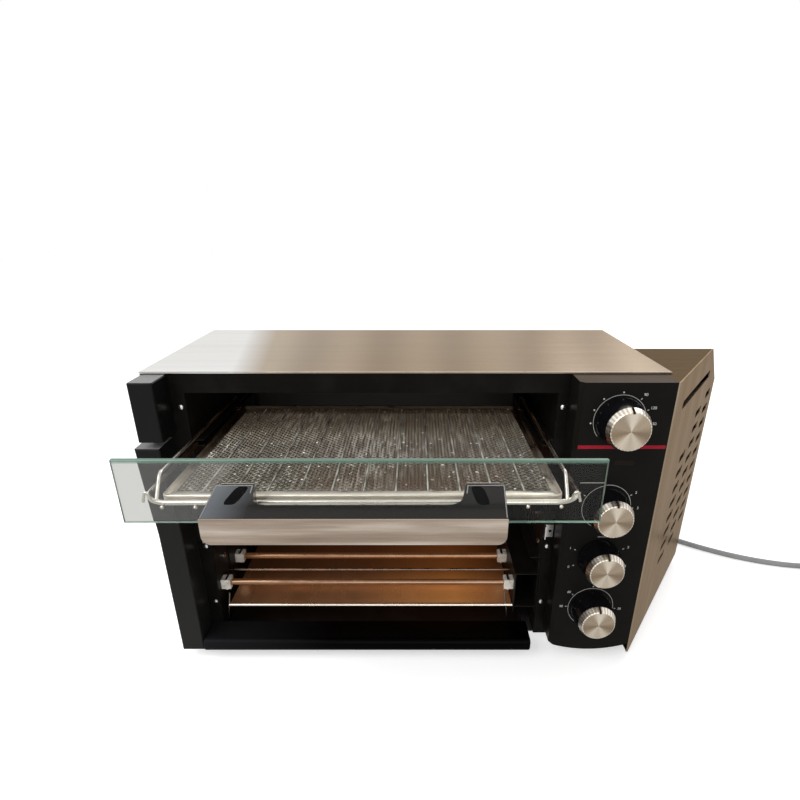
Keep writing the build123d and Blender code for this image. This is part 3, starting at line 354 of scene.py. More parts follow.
def woven_steel(name):
    """Used wire cloth: dark brown-grey, rubbed threads front to back with painted highlights, and a few bright specks.
    """
    recipe = Recipe(name, (0.2, 0.17, 0.14), 0.45, 0.6)
    patch = recipe.level(recipe.noise((17.0, 11.0, 17.0), 4.0), 0.12, 1.0, 0.36, 0.66)
    # The threads are wear with painted highlights in them.
    thread = recipe.rise(recipe.noise((420.0, 36.0, 420.0), 4.0), 0.46, 0.62)
    rubbed = recipe.maths("MULTIPLY", patch, thread)
    used = recipe.mix(rubbed, (0.15, 0.13, 0.105), (0.44, 0.42, 0.38))
    # Painted light and shade along the tray: its back half brightened, its back edge a dark brown painted shadow.
    painted_light_and_shade = recipe.bands(recipe.over("crisper_tray", "Y"), [
        (0.0, (0.95, 0.93, 0.90)), (0.5, (1.0, 1.0, 0.98)), (0.75, (2.0, 1.9, 1.7)),
        (0.89, (2.2, 2.1, 1.9)), (0.93, (0.8, 0.66, 0.5)),
    ])
    speck = recipe.rise(recipe.noise(260.0, 2.0), 0.66, 0.72)
    cloth = recipe.mix(speck, recipe.times(used, painted_light_and_shade), (0.92, 0.90, 0.85))
    return recipe.done(cloth, (rubbed, 0.55, 0.35, 0.0, 1.0))


def warm_reflector(name):
    """Bright copper sheet, cream front rim; painted glow of the rods on it, hottest at the right, and painted shade to
    the back.
    """
    recipe = Recipe(name, (0.75, 0.42, 0.22), 0.25, 1.0)
    # Painted glow: emission colour across the sheet, hottest towards the right.
    glow = recipe.bands(recipe.over("bottom_reflector", "X"), [
        (0.0, (0.10, 0.045, 0.02)), (0.45, (0.22, 0.10, 0.045)), (0.80, (0.62, 0.25, 0.07)), (1.0, (0.20, 0.08, 0.03)),
    ])
    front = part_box("bottom_reflector")[0].y
    # Painted shade: darker towards the back.
    painted_falloff = recipe.bands(recipe.reach("Y", front, front + 160 * MM), [
        (0.0, WHITE), (0.22, (0.9, 0.84, 0.8)), (0.45, (0.34, 0.27, 0.22)), (1.0, (0.14, 0.10, 0.08)),
    ])
    streak = recipe.noise((45.0, 8.0, 8.0), 3.0)
    copper = recipe.times(recipe.mix(streak, (0.50, 0.28, 0.17), (0.80, 0.54, 0.35)), painted_falloff)
    rim = recipe.reach("Y", front + 4.5 * MM, front + 8.0 * MM, 1.0, 0.0)
    recipe.feed("Emission Color", recipe.mix(rim, recipe.times(glow, painted_falloff), (0.05, 0.035, 0.025)))
    recipe.set("Emission Strength", bpy.context.scene.oven_colours.glow)
    return recipe.done(recipe.mix(rim, copper, (0.80, 0.71, 0.61)), (streak, 0.18, 0.34))


def heater_sheath(name):
    """Heating rods that are hot: scaled metal with a dull glow."""
    recipe = Recipe(name, (0.60, 0.38, 0.26), 0.16, 1.0)
    scale = recipe.noise(70.0, 4.0)
    recipe.feed("Emission Color", recipe.mix(scale, (0.44, 0.15, 0.045), (0.56, 0.24, 0.09)))
    recipe.set("Emission Strength", bpy.context.scene.oven_colours.glow * 0.3)
    return recipe.done(recipe.mix(scale, (0.18, 0.105, 0.065), (0.32, 0.21, 0.145)), (scale, 0.12, 0.24))


def lit_back(name):
    """Dark enamel of the cavity's back, with the rods' glow painted on low down as emission."""
    recipe = Recipe(name, (0.014, 0.012, 0.010), 0.36, gloss=0.14)
    low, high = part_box("bottom_reflector")
    # Painted glow: emission low on the back wall, fading upwards and towards the left.
    upper = recipe.reach("Z", high.z, high.z + 110 * MM, 1.0, 0.0)
    lower = recipe.reach("Z", low.z, low.z + 2 * MM)
    inner = recipe.reach("X", low.x + 10 * MM, low.x + 70 * MM)
    painted_glow_mask = recipe.maths("MULTIPLY", inner, recipe.maths("MULTIPLY", upper, lower))
    recipe.feed("Emission Color", recipe.mix(painted_glow_mask, (0.0, 0.0, 0.0), (0.30, 0.078, 0.016)))
    recipe.set("Emission Strength", bpy.context.scene.oven_colours.glow)
    dust = recipe.noise(40.0, 5.0)
    return recipe.done(recipe.mix(dust, (0.008, 0.007, 0.006), (0.022, 0.018, 0.015)), (dust, 0.3, 0.46))


def clear_glass(name):
    """Clear toughened glass; its ground edges, which face up, down or sideways, look green."""
    recipe = Recipe(name, (0.885, 0.90, 0.87), 0.0)
    recipe.set("Transmission Weight", 1.0)
    recipe.set("IOR", 1.4)
    low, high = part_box("glass_front")
    # Painted reflection: IOR higher at the left, so the glass reflects more there.
    recipe.feed("IOR", recipe.reach("X", low.x + 50 * MM, high.x - 80 * MM, 1.7, 1.23))
    recipe.feed("Roughness", recipe.level(recipe.noise(40.0, 4.0), 0.0, 0.015, 0.4, 0.8))
    edge = recipe.node("ShaderNodeBsdfPrincipled")
    edge.inputs["Base Color"].default_value = (0.16, 0.29, 0.22, 1.0)
    edge.inputs["Roughness"].default_value = 0.3
    edge.inputs["Transmission Weight"].default_value = 0.35
    lip = recipe.reach("Z", high.z - 3.2 * MM, high.z - 1.4 * MM, 0.0, 0.75)
    ground = recipe.maths("MAXIMUM", recipe.level(recipe.facing("Y"), 1.0, 0.0, 0.75, 0.95), lip)
    shadow = recipe.node("ShaderNodeLightPath").outputs["Is Shadow Ray"]
    clear = recipe.node("ShaderNodeBsdfTransparent").outputs["BSDF"]
    surface = recipe.shader.outputs["BSDF"]
    for factor, other in ((ground, edge.outputs["BSDF"]), (shadow, clear)):
        both = recipe.node("ShaderNodeMixShader")
        for value, socket in zip((factor, surface, other), both.inputs):
            recipe.join(value, socket)
        surface = both.outputs["Shader"]
    recipe.join(surface, recipe.output.inputs["Surface"])
    return recipe.material


def post_moulding(name):
    """Grained black of the left posts with random wear, paler towards the table; their tops carry a painted highlight.
    """
    recipe = Recipe(name, (0.012, 0.0115, 0.011), 0.34, gloss=0.15)
    low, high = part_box("left_side_panel")
    rise = recipe.reach("Z", low.z + 40 * MM, high.z - 40 * MM)
    ground = recipe.mix(rise, (0.017, 0.0165, 0.0155), (0.0055, 0.0055, 0.0055))
    wear = recipe.noise(*WEAR)
    worn = recipe.times(ground, recipe.mix(wear, (0.8, 0.8, 0.8), WHITE))
    # Painted highlight: upward faces lighter.
    top = recipe.rise(recipe.facing("Z"), 0.8, 0.95)
    pores = (recipe.noise(1500.0, 2.0), 0.06 * MM, 0.3)
    return recipe.done(recipe.mix(top, worn, (0.23, 0.23, 0.228)), (wear, 0.29, 0.39), pores)


def fascia_moulding(name):
    """Grained black fascia; its bevelled top edge carries a painted brown highlight."""
    recipe = Recipe(name, (0.005, 0.0046, 0.0036), 0.36, gloss=0.05)
    wear = recipe.noise(*WEAR)
    face = recipe.mix(wear, (0.0050, 0.0046, 0.0036), (0.0105, 0.0099, 0.0084))
    # Painted highlight: upward faces brown.
    top = recipe.rise(recipe.facing("Z"), 0.6, 0.9)
    pores = (recipe.noise(900.0, 1.0), 0.03 * MM, 0.12)
    return recipe.done(recipe.mix(top, face, (0.045, 0.026, 0.008)), (wear, 0.31, 0.41), pores)


def fading_black(name, node, pale, dark, reach, roughness, gloss):
    """Black moulding with random wear and a pale painted reflection at its left end, fading out over a reach in metres.
    """
    recipe = Recipe(name, dark, roughness, gloss=gloss)
    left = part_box(node)[0].x
    wear = recipe.noise(*WEAR)
    # Painted reflection: pale at the left end, fading out over the reach.
    ground = recipe.mix(recipe.reach("X", left, left + reach), pale, dark)
    worn = recipe.times(ground, recipe.mix(wear, (0.75, 0.75, 0.75), WHITE))
    pores = (recipe.noise(900.0, 2.0), 0.05 * MM, 0.25)
    return recipe.done(worn, (wear, roughness * 0.85, roughness * 1.15), pores)


# Each finish: how it is made, given its name, and the CAD nodes that wear it.
FINISHES = {
    "brushed_cover": (brushed_cover, ["top_cover", "left_side_panel", "right_side_panel"]),
    "brushed_pod": (brushed_pod, ["pod_side_panel"]),
    "dark_cover": (lambda name: two_tone(
        name, (0.07, 0.055, 0.042), 0.42, ((0.05, 0.038, 0.028), (0.09, 0.07, 0.053)),
        ((10.0, 1800.0, 1800.0), 2.0), rough=(0.34, 0.5), metallic=0.85, glancing=(0.62, 0.52, 0.40),
    ), ["pod_top", "pod_back"]),
    "zinc_sheet": (zinc_sheet, ["back_panel", "base_plate", "fan_housing", "convection_fan", "cooling_fan"]),
    "rubber_foot": (lambda name: moulding(name, (0.02, 0.02, 0.02), 0.75, 0.3, 900.0), ["feet"]),
    "black_enamel": (lambda name: enamel(name, (0.0048, 0.0044, 0.0036), 0.36, 0.06), ["front_frame"]),
    "dark_pan": (lambda name: enamel(name, (0.012, 0.0085, 0.007), 0.5, 0.12), ["crumb_tray"]),
    "fascia_moulding": (fascia_moulding, ["control_fascia"]),
    "post_moulding": (post_moulding, ["left_post_upper", "left_post_lower"]),
    # Sill and handle bar: pale painted reflection at their left ends.
    "sill_moulding": (lambda name: fading_black(
        name, "crumb_tray_front", (0.013, 0.0135, 0.015), (0.0008, 0.0007, 0.0006), 130 * MM, 0.3, 0.03,
    ), ["crumb_tray_front"]),
    "handle_moulding": (lambda name: fading_black(
        name, "handle_bar", (0.17, 0.185, 0.205), (0.006, 0.004, 0.0028), 34 * MM, 0.16, 0.07,
    ), ["handle_bar"]),
    "gloss_moulding": (lambda name: moulding(name, (0.006, 0.004, 0.0028), 0.16, 0.10, 500.0), []),
    "knob_moulding": (
        lambda name: moulding(name, (0.0025, 0.0025, 0.0035), 0.14, 0.42, 500.0), [f"{dial}_knob" for dial in DIALS],
    ),
    # Painted shade and painted highlight for the tops of the handle brackets.
    "scoop_painted_shade": (lambda name: moulding(name, (0.0007, 0.0007, 0.0008), 0.5, 0.02), []),
    "edge_painted_highlight": (lambda name: moulding(name, (0.20, 0.195, 0.19), 0.3, 0.5), []),
    "red_trim": (lambda name: two_tone(
        name, (0.50, 0.02, 0.05), 0.25, ((0.24, 0.006, 0.016), (0.36, 0.012, 0.03)), (60.0, 3.0), gloss=0.12,
    ), ["red_stripe"]),
    "bright_fastener": (
        lambda name: plated(name, (0.86, 0.85, 0.83), 0.2),
        ["frame_screws", "catch_plate", "handle_bolts", "fan_shaft"] + [f"{dial}_shaft" for dial in DIALS],
    ),
    "lit_back": (lit_back, ["cavity_roof_and_back"]),
    "dark_liner": (
        lambda name: enamel(name, (0.008, 0.0072, 0.006), 0.38, 0.12),
        ["cavity_left_wall", "cavity_right_wall", "side_rack_left", "side_rack_right"],
    ),
    "heater_sheath": (heater_sheath, ["lower_heaters", "upper_heaters"]),
    "ceramic_block": (lambda name: two_tone(
        name, (0.78, 0.74, 0.66), 0.7, ((0.80, 0.76, 0.68), (0.48, 0.38, 0.28)), (130.0, 5.0), (0.45, 0.75),
        relief=(900.0, 3.0, 0.2 * MM, 0.4),
    ), ["heater_insulators"]),
    "warm_reflector": (warm_reflector, ["bottom_reflector"]),
    # The rack is painted darker towards its back: painted shade.
    "bright_wire": (lambda name: plated(name, (0.78, 0.735, 0.67), 0.2, painted_shade_node="wire_rack"), ["wire_rack"]),
    "guard_wire": (lambda name: plated(name, (0.16, 0.12, 0.10), 0.3, (0.30, 0.18, 0.12)), ["heater_guard_rod"]),
    "motor_steel": (lambda name: two_tone(
        name, (0.30, 0.30, 0.31), 0.45, ((0.2, 0.2, 0.21), (0.42, 0.42, 0.43)), ((2200.0, 3.0, 3.0), 1.0),
        relief=((2200.0, 3.0, 3.0), 1.0, 0.2 * MM, 0.5), metallic=0.8,
    ), ["fan_motor"]),
    "clear_glass": (clear_glass, ["glass_front"]),
    "handle_steel": (handle_steel, ["handle_face"]),
    "control_body": (
        lambda name: moulding(name, (0.42, 0.34, 0.24), 0.55, 0.4, 800.0), [f"{dial}_control" for dial in DIALS],
    ),
    "cord_rubber": (lambda name: two_tone(
        name, (0.20, 0.205, 0.215), 0.5, ((0.22, 0.225, 0.23), (0.36, 0.365, 0.37)), (110.0, 4.0), rough=(0.42, 0.6),
    ), ["mains_plug", "cord_gland"]),
    "pin_brass": (lambda name: plated(name, (0.80, 0.68, 0.40), 0.25), ["plug_pins"]),
    "printed_ink": (lambda name: two_tone(
        name, (0.55, 0.55, 0.53), 0.5, ((0.42, 0.42, 0.40), (0.66, 0.66, 0.64)), (700.0, 3.0),
    ), []),
    "woven_steel": (woven_steel, []),
    # The tray rim is painted darker towards the tray's back: painted shade.
    "tray_rim": (
        lambda name: plated(name, (0.84, 0.78, 0.70), 0.36, (0.70, 0.64, 0.56), "crisper_tray"), [],
    ),
    # Pale hem: painted highlight.
    "hem_painted_highlight": (lambda name: plated(name, (0.62, 0.54, 0.45), 0.3), []),
    # Pale ribs: painted highlights.
    "rib_painted_highlight": (lambda name: two_tone(
        name, (0.6, 0.57, 0.52), 0.5, ((0.20, 0.175, 0.14), (0.78, 0.75, 0.69)), ((60.0, 45.0, 60.0), 4.0),
        (0.36, 0.6), metallic=0.35,
    ), []),
    **{f"{dial}_cap": (knob_cap, [f"{dial}_knob_cap"]) for dial in DIALS},
}


def finish(name):
    """The named finish, made the first time it is asked for."""
    return bpy.data.materials.get(f"oven_{name}") or FINISHES[name][0](name)


def paint(node, name):
    """Give a CAD node a finish."""
    for slot in NODES[node].material_slots:
        slot.material = finish(name)


def put_in_scene(name, data):
    """An object that holds the data, linked into the scene."""
    made = bpy.data.objects.new(name, data)
    bpy.context.scene.collection.objects.link(made)
    return made


def piece(name, bm, body, material, sharp=35.0):
    """Turn a bmesh into a piece that rides on a body; edges over the sharp angle stay crisp.

    The piece's one material slot holds the named material.
    """
    bmesh.ops.recalc_face_normals(bm, faces=bm.faces)
    mesh = bpy.data.meshes.new(name)
    bm.to_mesh(mesh)
    bm.free()
    mesh.shade_smooth()
    mesh.set_sharp_from_angle(angle=math.radians(sharp))
    mesh.materials.append(finish(material))
    made = put_in_scene(name, mesh)
    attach(made, body)
    return made


def ring(bm, centre, side, up, radius, sides):
    """A ring of new vertices round a centre."""
    points = []
    for step in range(sides):
        angle = math.tau * step / sides
        points.append(bm.verts.new(centre + side * (radius * math.cos(angle)) + up * (radius * math.sin(angle))))
    return points


def skin(bm, first, second):
    """Faces between two rings of as many vertices."""
    count = len(first)
    for step in range(count):
        after = (step + 1) % count
        bm.faces.new((first[step], first[after], second[after], second[step]))


def loft(bm, rings):
    """A closed solid through rings of as many vertices."""
    for first, second in zip(rings, rings[1:]):
        skin(bm, first, second)
    bm.faces.new(rings[0])
    bm.faces.new(rings[-1])


def crossways(axis):
    """Two directions square to an axis and to each other."""
    side = axis.orthogonal().normalized()
    return side, axis.cross(side)


def lathe(bm, centre, axis, profile, sides):
    """A turned solid: profile holds (distance along the axis, radius) in millimetres."""
    side, up = crossways(axis)
    loft(bm, [ring(bm, centre + axis * (way * MM), side, up, radius * MM, sides) for way, radius in profile])


def wire(bm, points, radius, sides=8):
    """A round wire through points in metres, with closed ends."""
    rings = []
    for index, point in enumerate(points):
        before = points[max(index - 1, 0)]
        after = points[min(index + 1, len(points) - 1)]
        direction = (after - before).normalized()
        side = direction.cross(Vector((0, 0, 1)))
        if side.length < 0.05:
            side = direction.cross(Vector((0, 1, 0)))
        side.normalize()
        rings.append(ring(bm, point, side, direction.cross(side), radius, sides))
    loft(bm, rings)


def slab(bm, low, high, round_off=0.0):
    """A block between two corners, its edges rounded off by a radius in metres."""
    low, high = Vector(low), Vector(high)
    made = bmesh.ops.create_cube(bm, size=1.0)["verts"]
    bmesh.ops.scale(bm, vec=high - low, verts=made)
    bmesh.ops.translate(bm, vec=(low + high) / 2, verts=made)
    if round_off:
        edges = {edge for vert in made for edge in vert.link_edges}
        bmesh.ops.bevel(bm, geom=list(edges), offset=round_off, segments=3, affect="EDGES", profile=0.5)


def prism(bm, outline, bottom, top):
    """A flat piece between two heights, its outline in drawing millimetres."""
    loft(bm, [[bm.verts.new(spot(x, y, z)) for x, y in outline] for z in (bottom, top)])


def rounded_loop(bm, low, high, inset, height, corner, steps=5):
    """A ring of vertices round a rounded rectangle, inset from its corners, at one height."""
    radius = max(corner - inset, 0.5 * MM)
    x0, x1 = low.x + inset + radius, high.x - inset - radius
    y0, y1 = low.y + inset + radius, high.y - inset - radius
    points = []
    for turn, (x, y) in enumerate(((x1, y1), (x0, y1), (x0, y0), (x1, y0))):
        for step in range(steps + 1):
            angle = math.pi / 2 * (turn + step / steps)
            points.append(bm.verts.new((x + radius * math.cos(angle), y + radius * math.sin(angle), height)))
    return points


def crisper_rim():
    """Folded rim of the crisper tray, with a flange under the wire cloth."""
    low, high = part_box("crisper_tray")
    bm = bmesh.new()
    profile = ((0.0, 0.0), (0.0, 4.5), (0.5, 5.0), (1.2, 5.0), (1.6, 4.5), (1.6, 1.6), (8.0, 1.6), (8.0, 0.0))
    loops = [rounded_loop(bm, low, high, inset * MM, low.z + rise * MM, 6 * MM) for inset, rise in profile]
    for first, second in zip(loops, loops[1:] + loops[:1]):
        skin(bm, first, second)
    made = piece("crisper_rim", bm, "drawer", "tray_rim")
    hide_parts("crisper_tray")


def crisper_cloth():
    """Wire cloth of the crisper tray: wires that pass over and under each other."""
    sizes = bpy.context.scene.oven_sizes
    low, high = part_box("crisper_tray")
    edge = 7 * MM
    x0, x1, y0, y1 = low.x + edge, high.x - edge, low.y + edge, high.y - edge
    columns = round((x1 - x0) / sizes.cloth_pitch)
    rows = round((y1 - y0) / sizes.cloth_pitch)
    radius = sizes.cloth_wire / 2
    level = low.z + 1.6 * MM + 1.5 * radius

    def crossing(column, row, over):
        """Where two wires pass, on the upper or the lower one."""
        z = level + over * radius * (1 if (row + column) % 2 else -1)
        return Vector((x0 + (x1 - x0) * column / columns, y0 + (y1 - y0) * row / rows, z))

    bm = bmesh.new()
    for column in range(columns + 1):
        wire(bm, [crossing(column, row, 1) for row in range(rows + 1)], radius, 4)
    for row in range(rows + 1):
        wire(bm, [crossing(column, row, -1) for column in range(columns + 1)], radius, 4)
    piece("crisper_cloth", bm, "drawer", "woven_steel", 60.0)


def crisper_lip():
    """Wide folded lip along the front of the crisper tray."""
    low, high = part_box("crisper_tray")
    corner = 7 * MM
    start = (low.x + corner, low.y + 0.4 * MM, high.z - 0.6 * MM)
    end = (high.x - corner, low.y + corner, high.z + 0.3 * MM)
    bm = bmesh.new()
    slab(bm, start, end, 0.35 * MM)
    piece("crisper_lip", bm, "drawer", "tray_rim")


def grid_places():
    """Where the rack's grid wires run, across the drawer."""
    return [DRAWER_MIDDLE + (step - (GRID_WIRES - 1) / 2) * GRID_PITCH for step in range(GRID_WIRES)]


def crisper_ribs():
    """Raised ribs along the wire cloth under the rack's grid wires; their pale colour is painted highlight."""
    sizes = bpy.context.scene.oven_sizes
    low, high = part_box("crisper_tray")
    level = low.z + 2.2 * MM + sizes.cloth_wire
    edge, end = 9 * MM, 8 * MM
    bm = bmesh.new()
    for x in grid_places():
        if low.x + edge < x < high.x - edge:
            wire(bm, [Vector((x, low.y + end, level)), Vector((x, high.y - end, level))], 0.7 * MM, 6)
    piece("crisper_ribs", bm, "drawer", "rib_painted_highlight")


def rack_beads():
    """Rounded weld beads at the front ends of the rack's grid wires."""
    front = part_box("wire_rack")[0].y + 1.4 * MM
    bm = bmesh.new()
    for x in grid_places():
        bead = bmesh.ops.create_icosphere(bm, subdivisions=2, radius=1.7 * MM)["verts"]
        bmesh.ops.translate(bm, vec=(x, front, GRID_HEIGHT), verts=bead)
    piece("rack_beads", bm, "drawer", "bright_wire")


def handle_details():
    """Painted shade over each handle bracket's thumb scoop, and pale strips of painted highlight along its top edges.
    """
    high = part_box("handle_bar")[1]
    top = high.z / MM
    back = (high.y - FRAME_FACE) / MM
    oval = []
    for step in range(32):
        turn = math.tau * step / 32
        oval.append([math.copysign(abs(way) ** 0.5, way) for way in (math.cos(turn), math.sin(turn))])
    strips = (
        ((103.4, 0.2), (77.0, 0.2), (77.2, 1.6), (103.2, 1.6)),
        ((103.6, 1.6), (102.8, 1.6), (98.2, 50), (98.8, 50)),
        ((77.6, 1.6), (76.8, 1.6), (75.2, 14), (76.0, 14)),
    )
    scoops = bmesh.new()
    edges = bmesh.new()
    for way in (-1, 1):
        scoop = [(way * (84.6 + 4.6 * x - 1.2 * y), back - 17 + 14.5 * y) for x, y in oval]
        prism(scoops, scoop, top - 0.1, top + 0.12)
        for strip in strips:
            prism(edges, [(way * x, back - y) for x, y in strip], top - 0.1, top + 0.2)
    piece("handle_scoop_shade", scoops, "drawer", "scoop_painted_shade")
    piece("handle_edge_highlights", edges, "drawer", "edge_painted_highlight")


def handle_washers():
    """Soft washers that keep the brackets off the glass, round each handle bolt."""
    low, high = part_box("handle_bolts")
    bm = bmesh.new()
    for x in (low.x + 4.4 * MM, high.x - 4.4 * MM):
        centre = Vector((x, high.y - 2.6 * MM, (low.z + high.z) / 2))
        lathe(bm, centre, Vector((0, 1, 0)), ((0.0, 6.2), (0.8, 6.2), (1.0, 5.9), (1.0, 4.6)), 32)
    piece("handle_washers", bm, "drawer", "rubber_foot")


def knob_ribs(dial):
    """Fine ribs round a knob's skirt."""
    count = bpy.context.scene.oven_sizes.rib_count
    low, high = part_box(f"{dial}_knob")
    centre = middle(f"{dial}_knob")
    wide = (high.x - low.x) / 2 - 0.4 * MM
    ends = ((high.y - 3.4 * MM, wide), (low.y + 1.4 * MM, wide - 2.0 * MM))
    # Across a rib: turn round the skirt in radians, and height in millimetres.
    section = ((-0.012, -0.5), (-0.0048, 0.32), (0.0048, 0.32), (0.012, -0.5))
    bm = bmesh.new()
    for step in range(count):
        angle = math.tau * step / count
        rings = []
        for depth, radius in ends:
            corners = []
            for turn, lift in section:
                reach = radius + lift * MM
                x = centre.x + reach * math.cos(angle + turn)
                z = centre.z + reach * math.sin(angle + turn)
                corners.append(bm.verts.new((x, depth, z)))
            rings.append(corners)
        loft(bm, rings)
    piece(f"{dial}_knob_ribs", bm, f"{dial}_dial", "knob_moulding", 50.0)


def printed_arc(bm, centre, radius, width, start, end):
    """A printed arc on the fascia; angles in degrees, clockwise from the top."""
    count = max(4, round(abs(end - start) / 4))
    inner, outer = radius - width / 2, radius + width / 2
    sections = []
    for step in range(count + 1):
        angle = math.radians(start + (end - start) * step / count)
        direction = Vector((math.sin(angle), 0, math.cos(angle)))
        corners = []
        for reach, depth in ((inner, 0), (outer, 0), (outer, 1), (inner, 1)):
            place = centre + direction * (reach * MM)
            corners.append(bm.verts.new((place.x, FASCIA_FACE - PRINT_DEPTH * depth, place.z)))
        sections.append(corners)
    loft(bm, sections)


def on_fascia(bm, x, z, width, height, depth, round_off=0.0):
    """A flat block on the fascia round a middle in drawing millimetres; its depth is in metres."""
    low, high = spot(x - width / 2, 0, z - height / 2), spot(x + width / 2, 0, z + height / 2)
    low.y, high.y = FASCIA_FACE - depth, FASCIA_FACE
    slab(bm, low, high, round_off)


def numeral(bm, text, x, z, height):
    """A plain number printed on the fascia, in drawing millimetres."""
    curve = bpy.data.curves.new("numeral", "FONT")
    curve.body = text
    curve.size = height * MM
    curve.align_x = "CENTER"
    curve.align_y = "CENTER"
    curve.extrude = PRINT_DEPTH / 2
    holder = put_in_scene("numeral", curve)
    mesh = bpy.data.meshes.new_from_object(holder)
    place = spot(x, 0, z)
    place.y = FASCIA_FACE - PRINT_DEPTH / 2
    mesh.transform(Matrix.Translation(place) @ Matrix.Rotation(math.pi / 2, 4, "X"))
    bm.from_mesh(mesh)
    bpy.data.objects.remove(holder)
    bpy.data.curves.remove(curve)
    bpy.data.meshes.remove(mesh)


# Each dial: radius of its ring, the ring's start and end or None, and its marks.
# A mark is an angle clockwise from the top and a number, or None for a dot.
DIAL_PRINT = {
    "temperature": (22.6, (-130, 130), (
        (0, None), (40, "90"), (68, "120"), (96, "150"), (124, "180"), (-40, None), (-68, None), (-96, None),
    )),
    "function": (22.4, (-150, 90), ((60, "2"), (92, "3"), (-60, "1"))),
    "element": (22.4, None, ((-70, "1"), (-112, "0"), (68, "2"), (110, "3"))),
    "timer": (22.4, (-140, 120), ((-52, "60"), (-88, "90"), (94, "30"), (0, None))),
}
# Printed lines: middle, width and height in drawing millimetres.
PRINTED_LINES = ((199.5, 205.0, 23.0, 0.5), (220.3, 148.5, 17.0, 0.5))


def dial_scale(bm, dial):
    """A dial's ring with its ticks, numbers and dots."""
    radius, arc, marks = DIAL_PRINT[dial]
    centre = middle(f"{dial}_knob_cap")
    x = (centre.x - DRAWER_MIDDLE) / MM
    z = centre.z / MM
    if arc:
        printed_arc(bm, centre, radius, 0.32, *arc)
    for angle, text in marks:
        turn = math.radians(angle)
        if text:
            printed_arc(bm, centre, radius + 2.2, 1.6, angle - 0.7, angle + 0.7)
            reach = radius + 7.0
            numeral(bm, text, x + reach * math.sin(turn), z + reach * math.cos(turn), 3.6)
        else:
            reach = radius + 2.2
            dot = spot(x + reach * math.sin(turn), 0, z + reach * math.cos(turn))
            printed_arc(bm, dot, 0.35, 0.7, 0, 360)


def dial_marks():
    """Rings, ticks, lines and plain numbers printed on the fascia."""
    bm = bmesh.new()
    for dial in DIALS:
        dial_scale(bm, dial)
    for line in PRINTED_LINES:
        on_fascia(bm, *line, PRINT_DEPTH)
    piece("dial_marks", bm, "housing", "printed_ink", 50.0)


def pilot_window():
    """Shallow dark pilot-light window between the first two knobs."""
    bm = bmesh.new()
    on_fascia(bm, 225.0, 224.0, 18.0, 5.0, 0.2 * MM, 0.15 * MM)
    piece("pilot_window", bm, "housing", "gloss_moulding")


def screws(name, places, axis, radius):
    """Pan-head screws with a cross recess, at places on a face."""
    axis = Vector(axis)
    side, up = crossways(axis)
    profile = [(way * radius, wide * radius) for way, wide in ((0.0, 1.0), (0.25, 1.0), (0.5, 0.75), (0.6, 0.3))]
    unit = radius * MM
    heads = bmesh.new()
    crosses = bmesh.new()
    for place in places:
        lathe(heads, place, axis, profile, 20)
        top = place + axis * (0.57 * unit)
        for first, second in ((side, up), (up, side)):
            long, short = first * (0.55 * unit), second * (0.13 * unit)
            corners = [top + long + short, top - long + short, top - long - short, top + long - short]
            lifts = [axis * (lift * unit) for lift in (0.0, 0.06)]
            loft(crosses, [[crosses.verts.new(corner + lift) for corner in corners] for lift in lifts])
    piece(name, heads, "housing", "bright_fastener")
    piece(f"{name}_recesses", crosses, "housing", "black_enamel")


def casing_screws():
    """Screws on the back, on the left side and under the feet."""
    low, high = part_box("back_panel")
    inset = 9 * MM
    columns, rows = (low.x + inset, 0.0, high.x - inset), (low.z + inset, high.z - inset)
    screws("back_screws", [Vector((x, high.y, z)) for x in columns for z in rows], (0, 1, 0), 3.4)
    low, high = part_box("left_side_panel")
    places = [Vector((low.x, y, low.z + inset)) for y in (low.y + 2 * inset, high.y - 2 * inset)]
    screws("left_side_screws", places, (-1, 0, 0), 3.2)
    low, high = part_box("feet")
    inset = 11 * MM
    columns, rows = (low.x + inset, high.x - inset), (low.y + inset, high.y - inset)
    screws("foot_screws", [Vector((x, y, 0.6 * MM)) for x in columns for y in rows], (0, 0, -1), 0.9)


def cover_hem():
    """Folded front edge of the top cover, its pale colour a painted highlight."""
    low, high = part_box("top_cover")
    start = (low.x + 1 * MM, low.y, high.z - 0.6 * MM)
    end = (high.x - 1 * MM, low.y + 1.8 * MM, high.z + 0.25 * MM)
    bm = bmesh.new()
    slab(bm, start, end, 0.25 * MM)
    piece("cover_hem", bm, "housing", "hem_painted_highlight")


def heater_clips():
    """Bright straps that hold the ceramic blocks, and the wire legs that stay the reflector."""
    low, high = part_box("lower_heaters")
    height = (low.z + high.z) / 2
    bm = bmesh.new()
    for y in (low.y + 3.3 * MM, high.y - 3.3 * MM):
        for x, way in ((low.x - 3 * MM, 1), (high.x + 3 * MM, -1)):
            left, right = sorted((x, x - way * 2.5 * MM))
            for lift in (-6.3, 5.5):
                start = (left, y - 6 * MM, height + lift * MM)
                slab(bm, start, (right, y + 6 * MM, height + (lift + 0.8) * MM), 0.2 * MM)
    piece("heater_clips", bm, "housing", "bright_fastener")
    legs = bmesh.new()
    for x, foot in ((low.x - 1.0 * MM, -4 * MM), (high.x + 1.0 * MM, 3 * MM)):
        top = Vector((x, FRAME_FACE + 5 * MM, height - 8 * MM))
        bends = (Vector((foot / 2, -2 * MM, -17 * MM)), Vector((foot, -2 * MM, -31 * MM)))
        wire(legs, [top, *(top + bend for bend in bends)], 0.9 * MM)
    piece("reflector_legs", legs, "housing", "bright_wire")


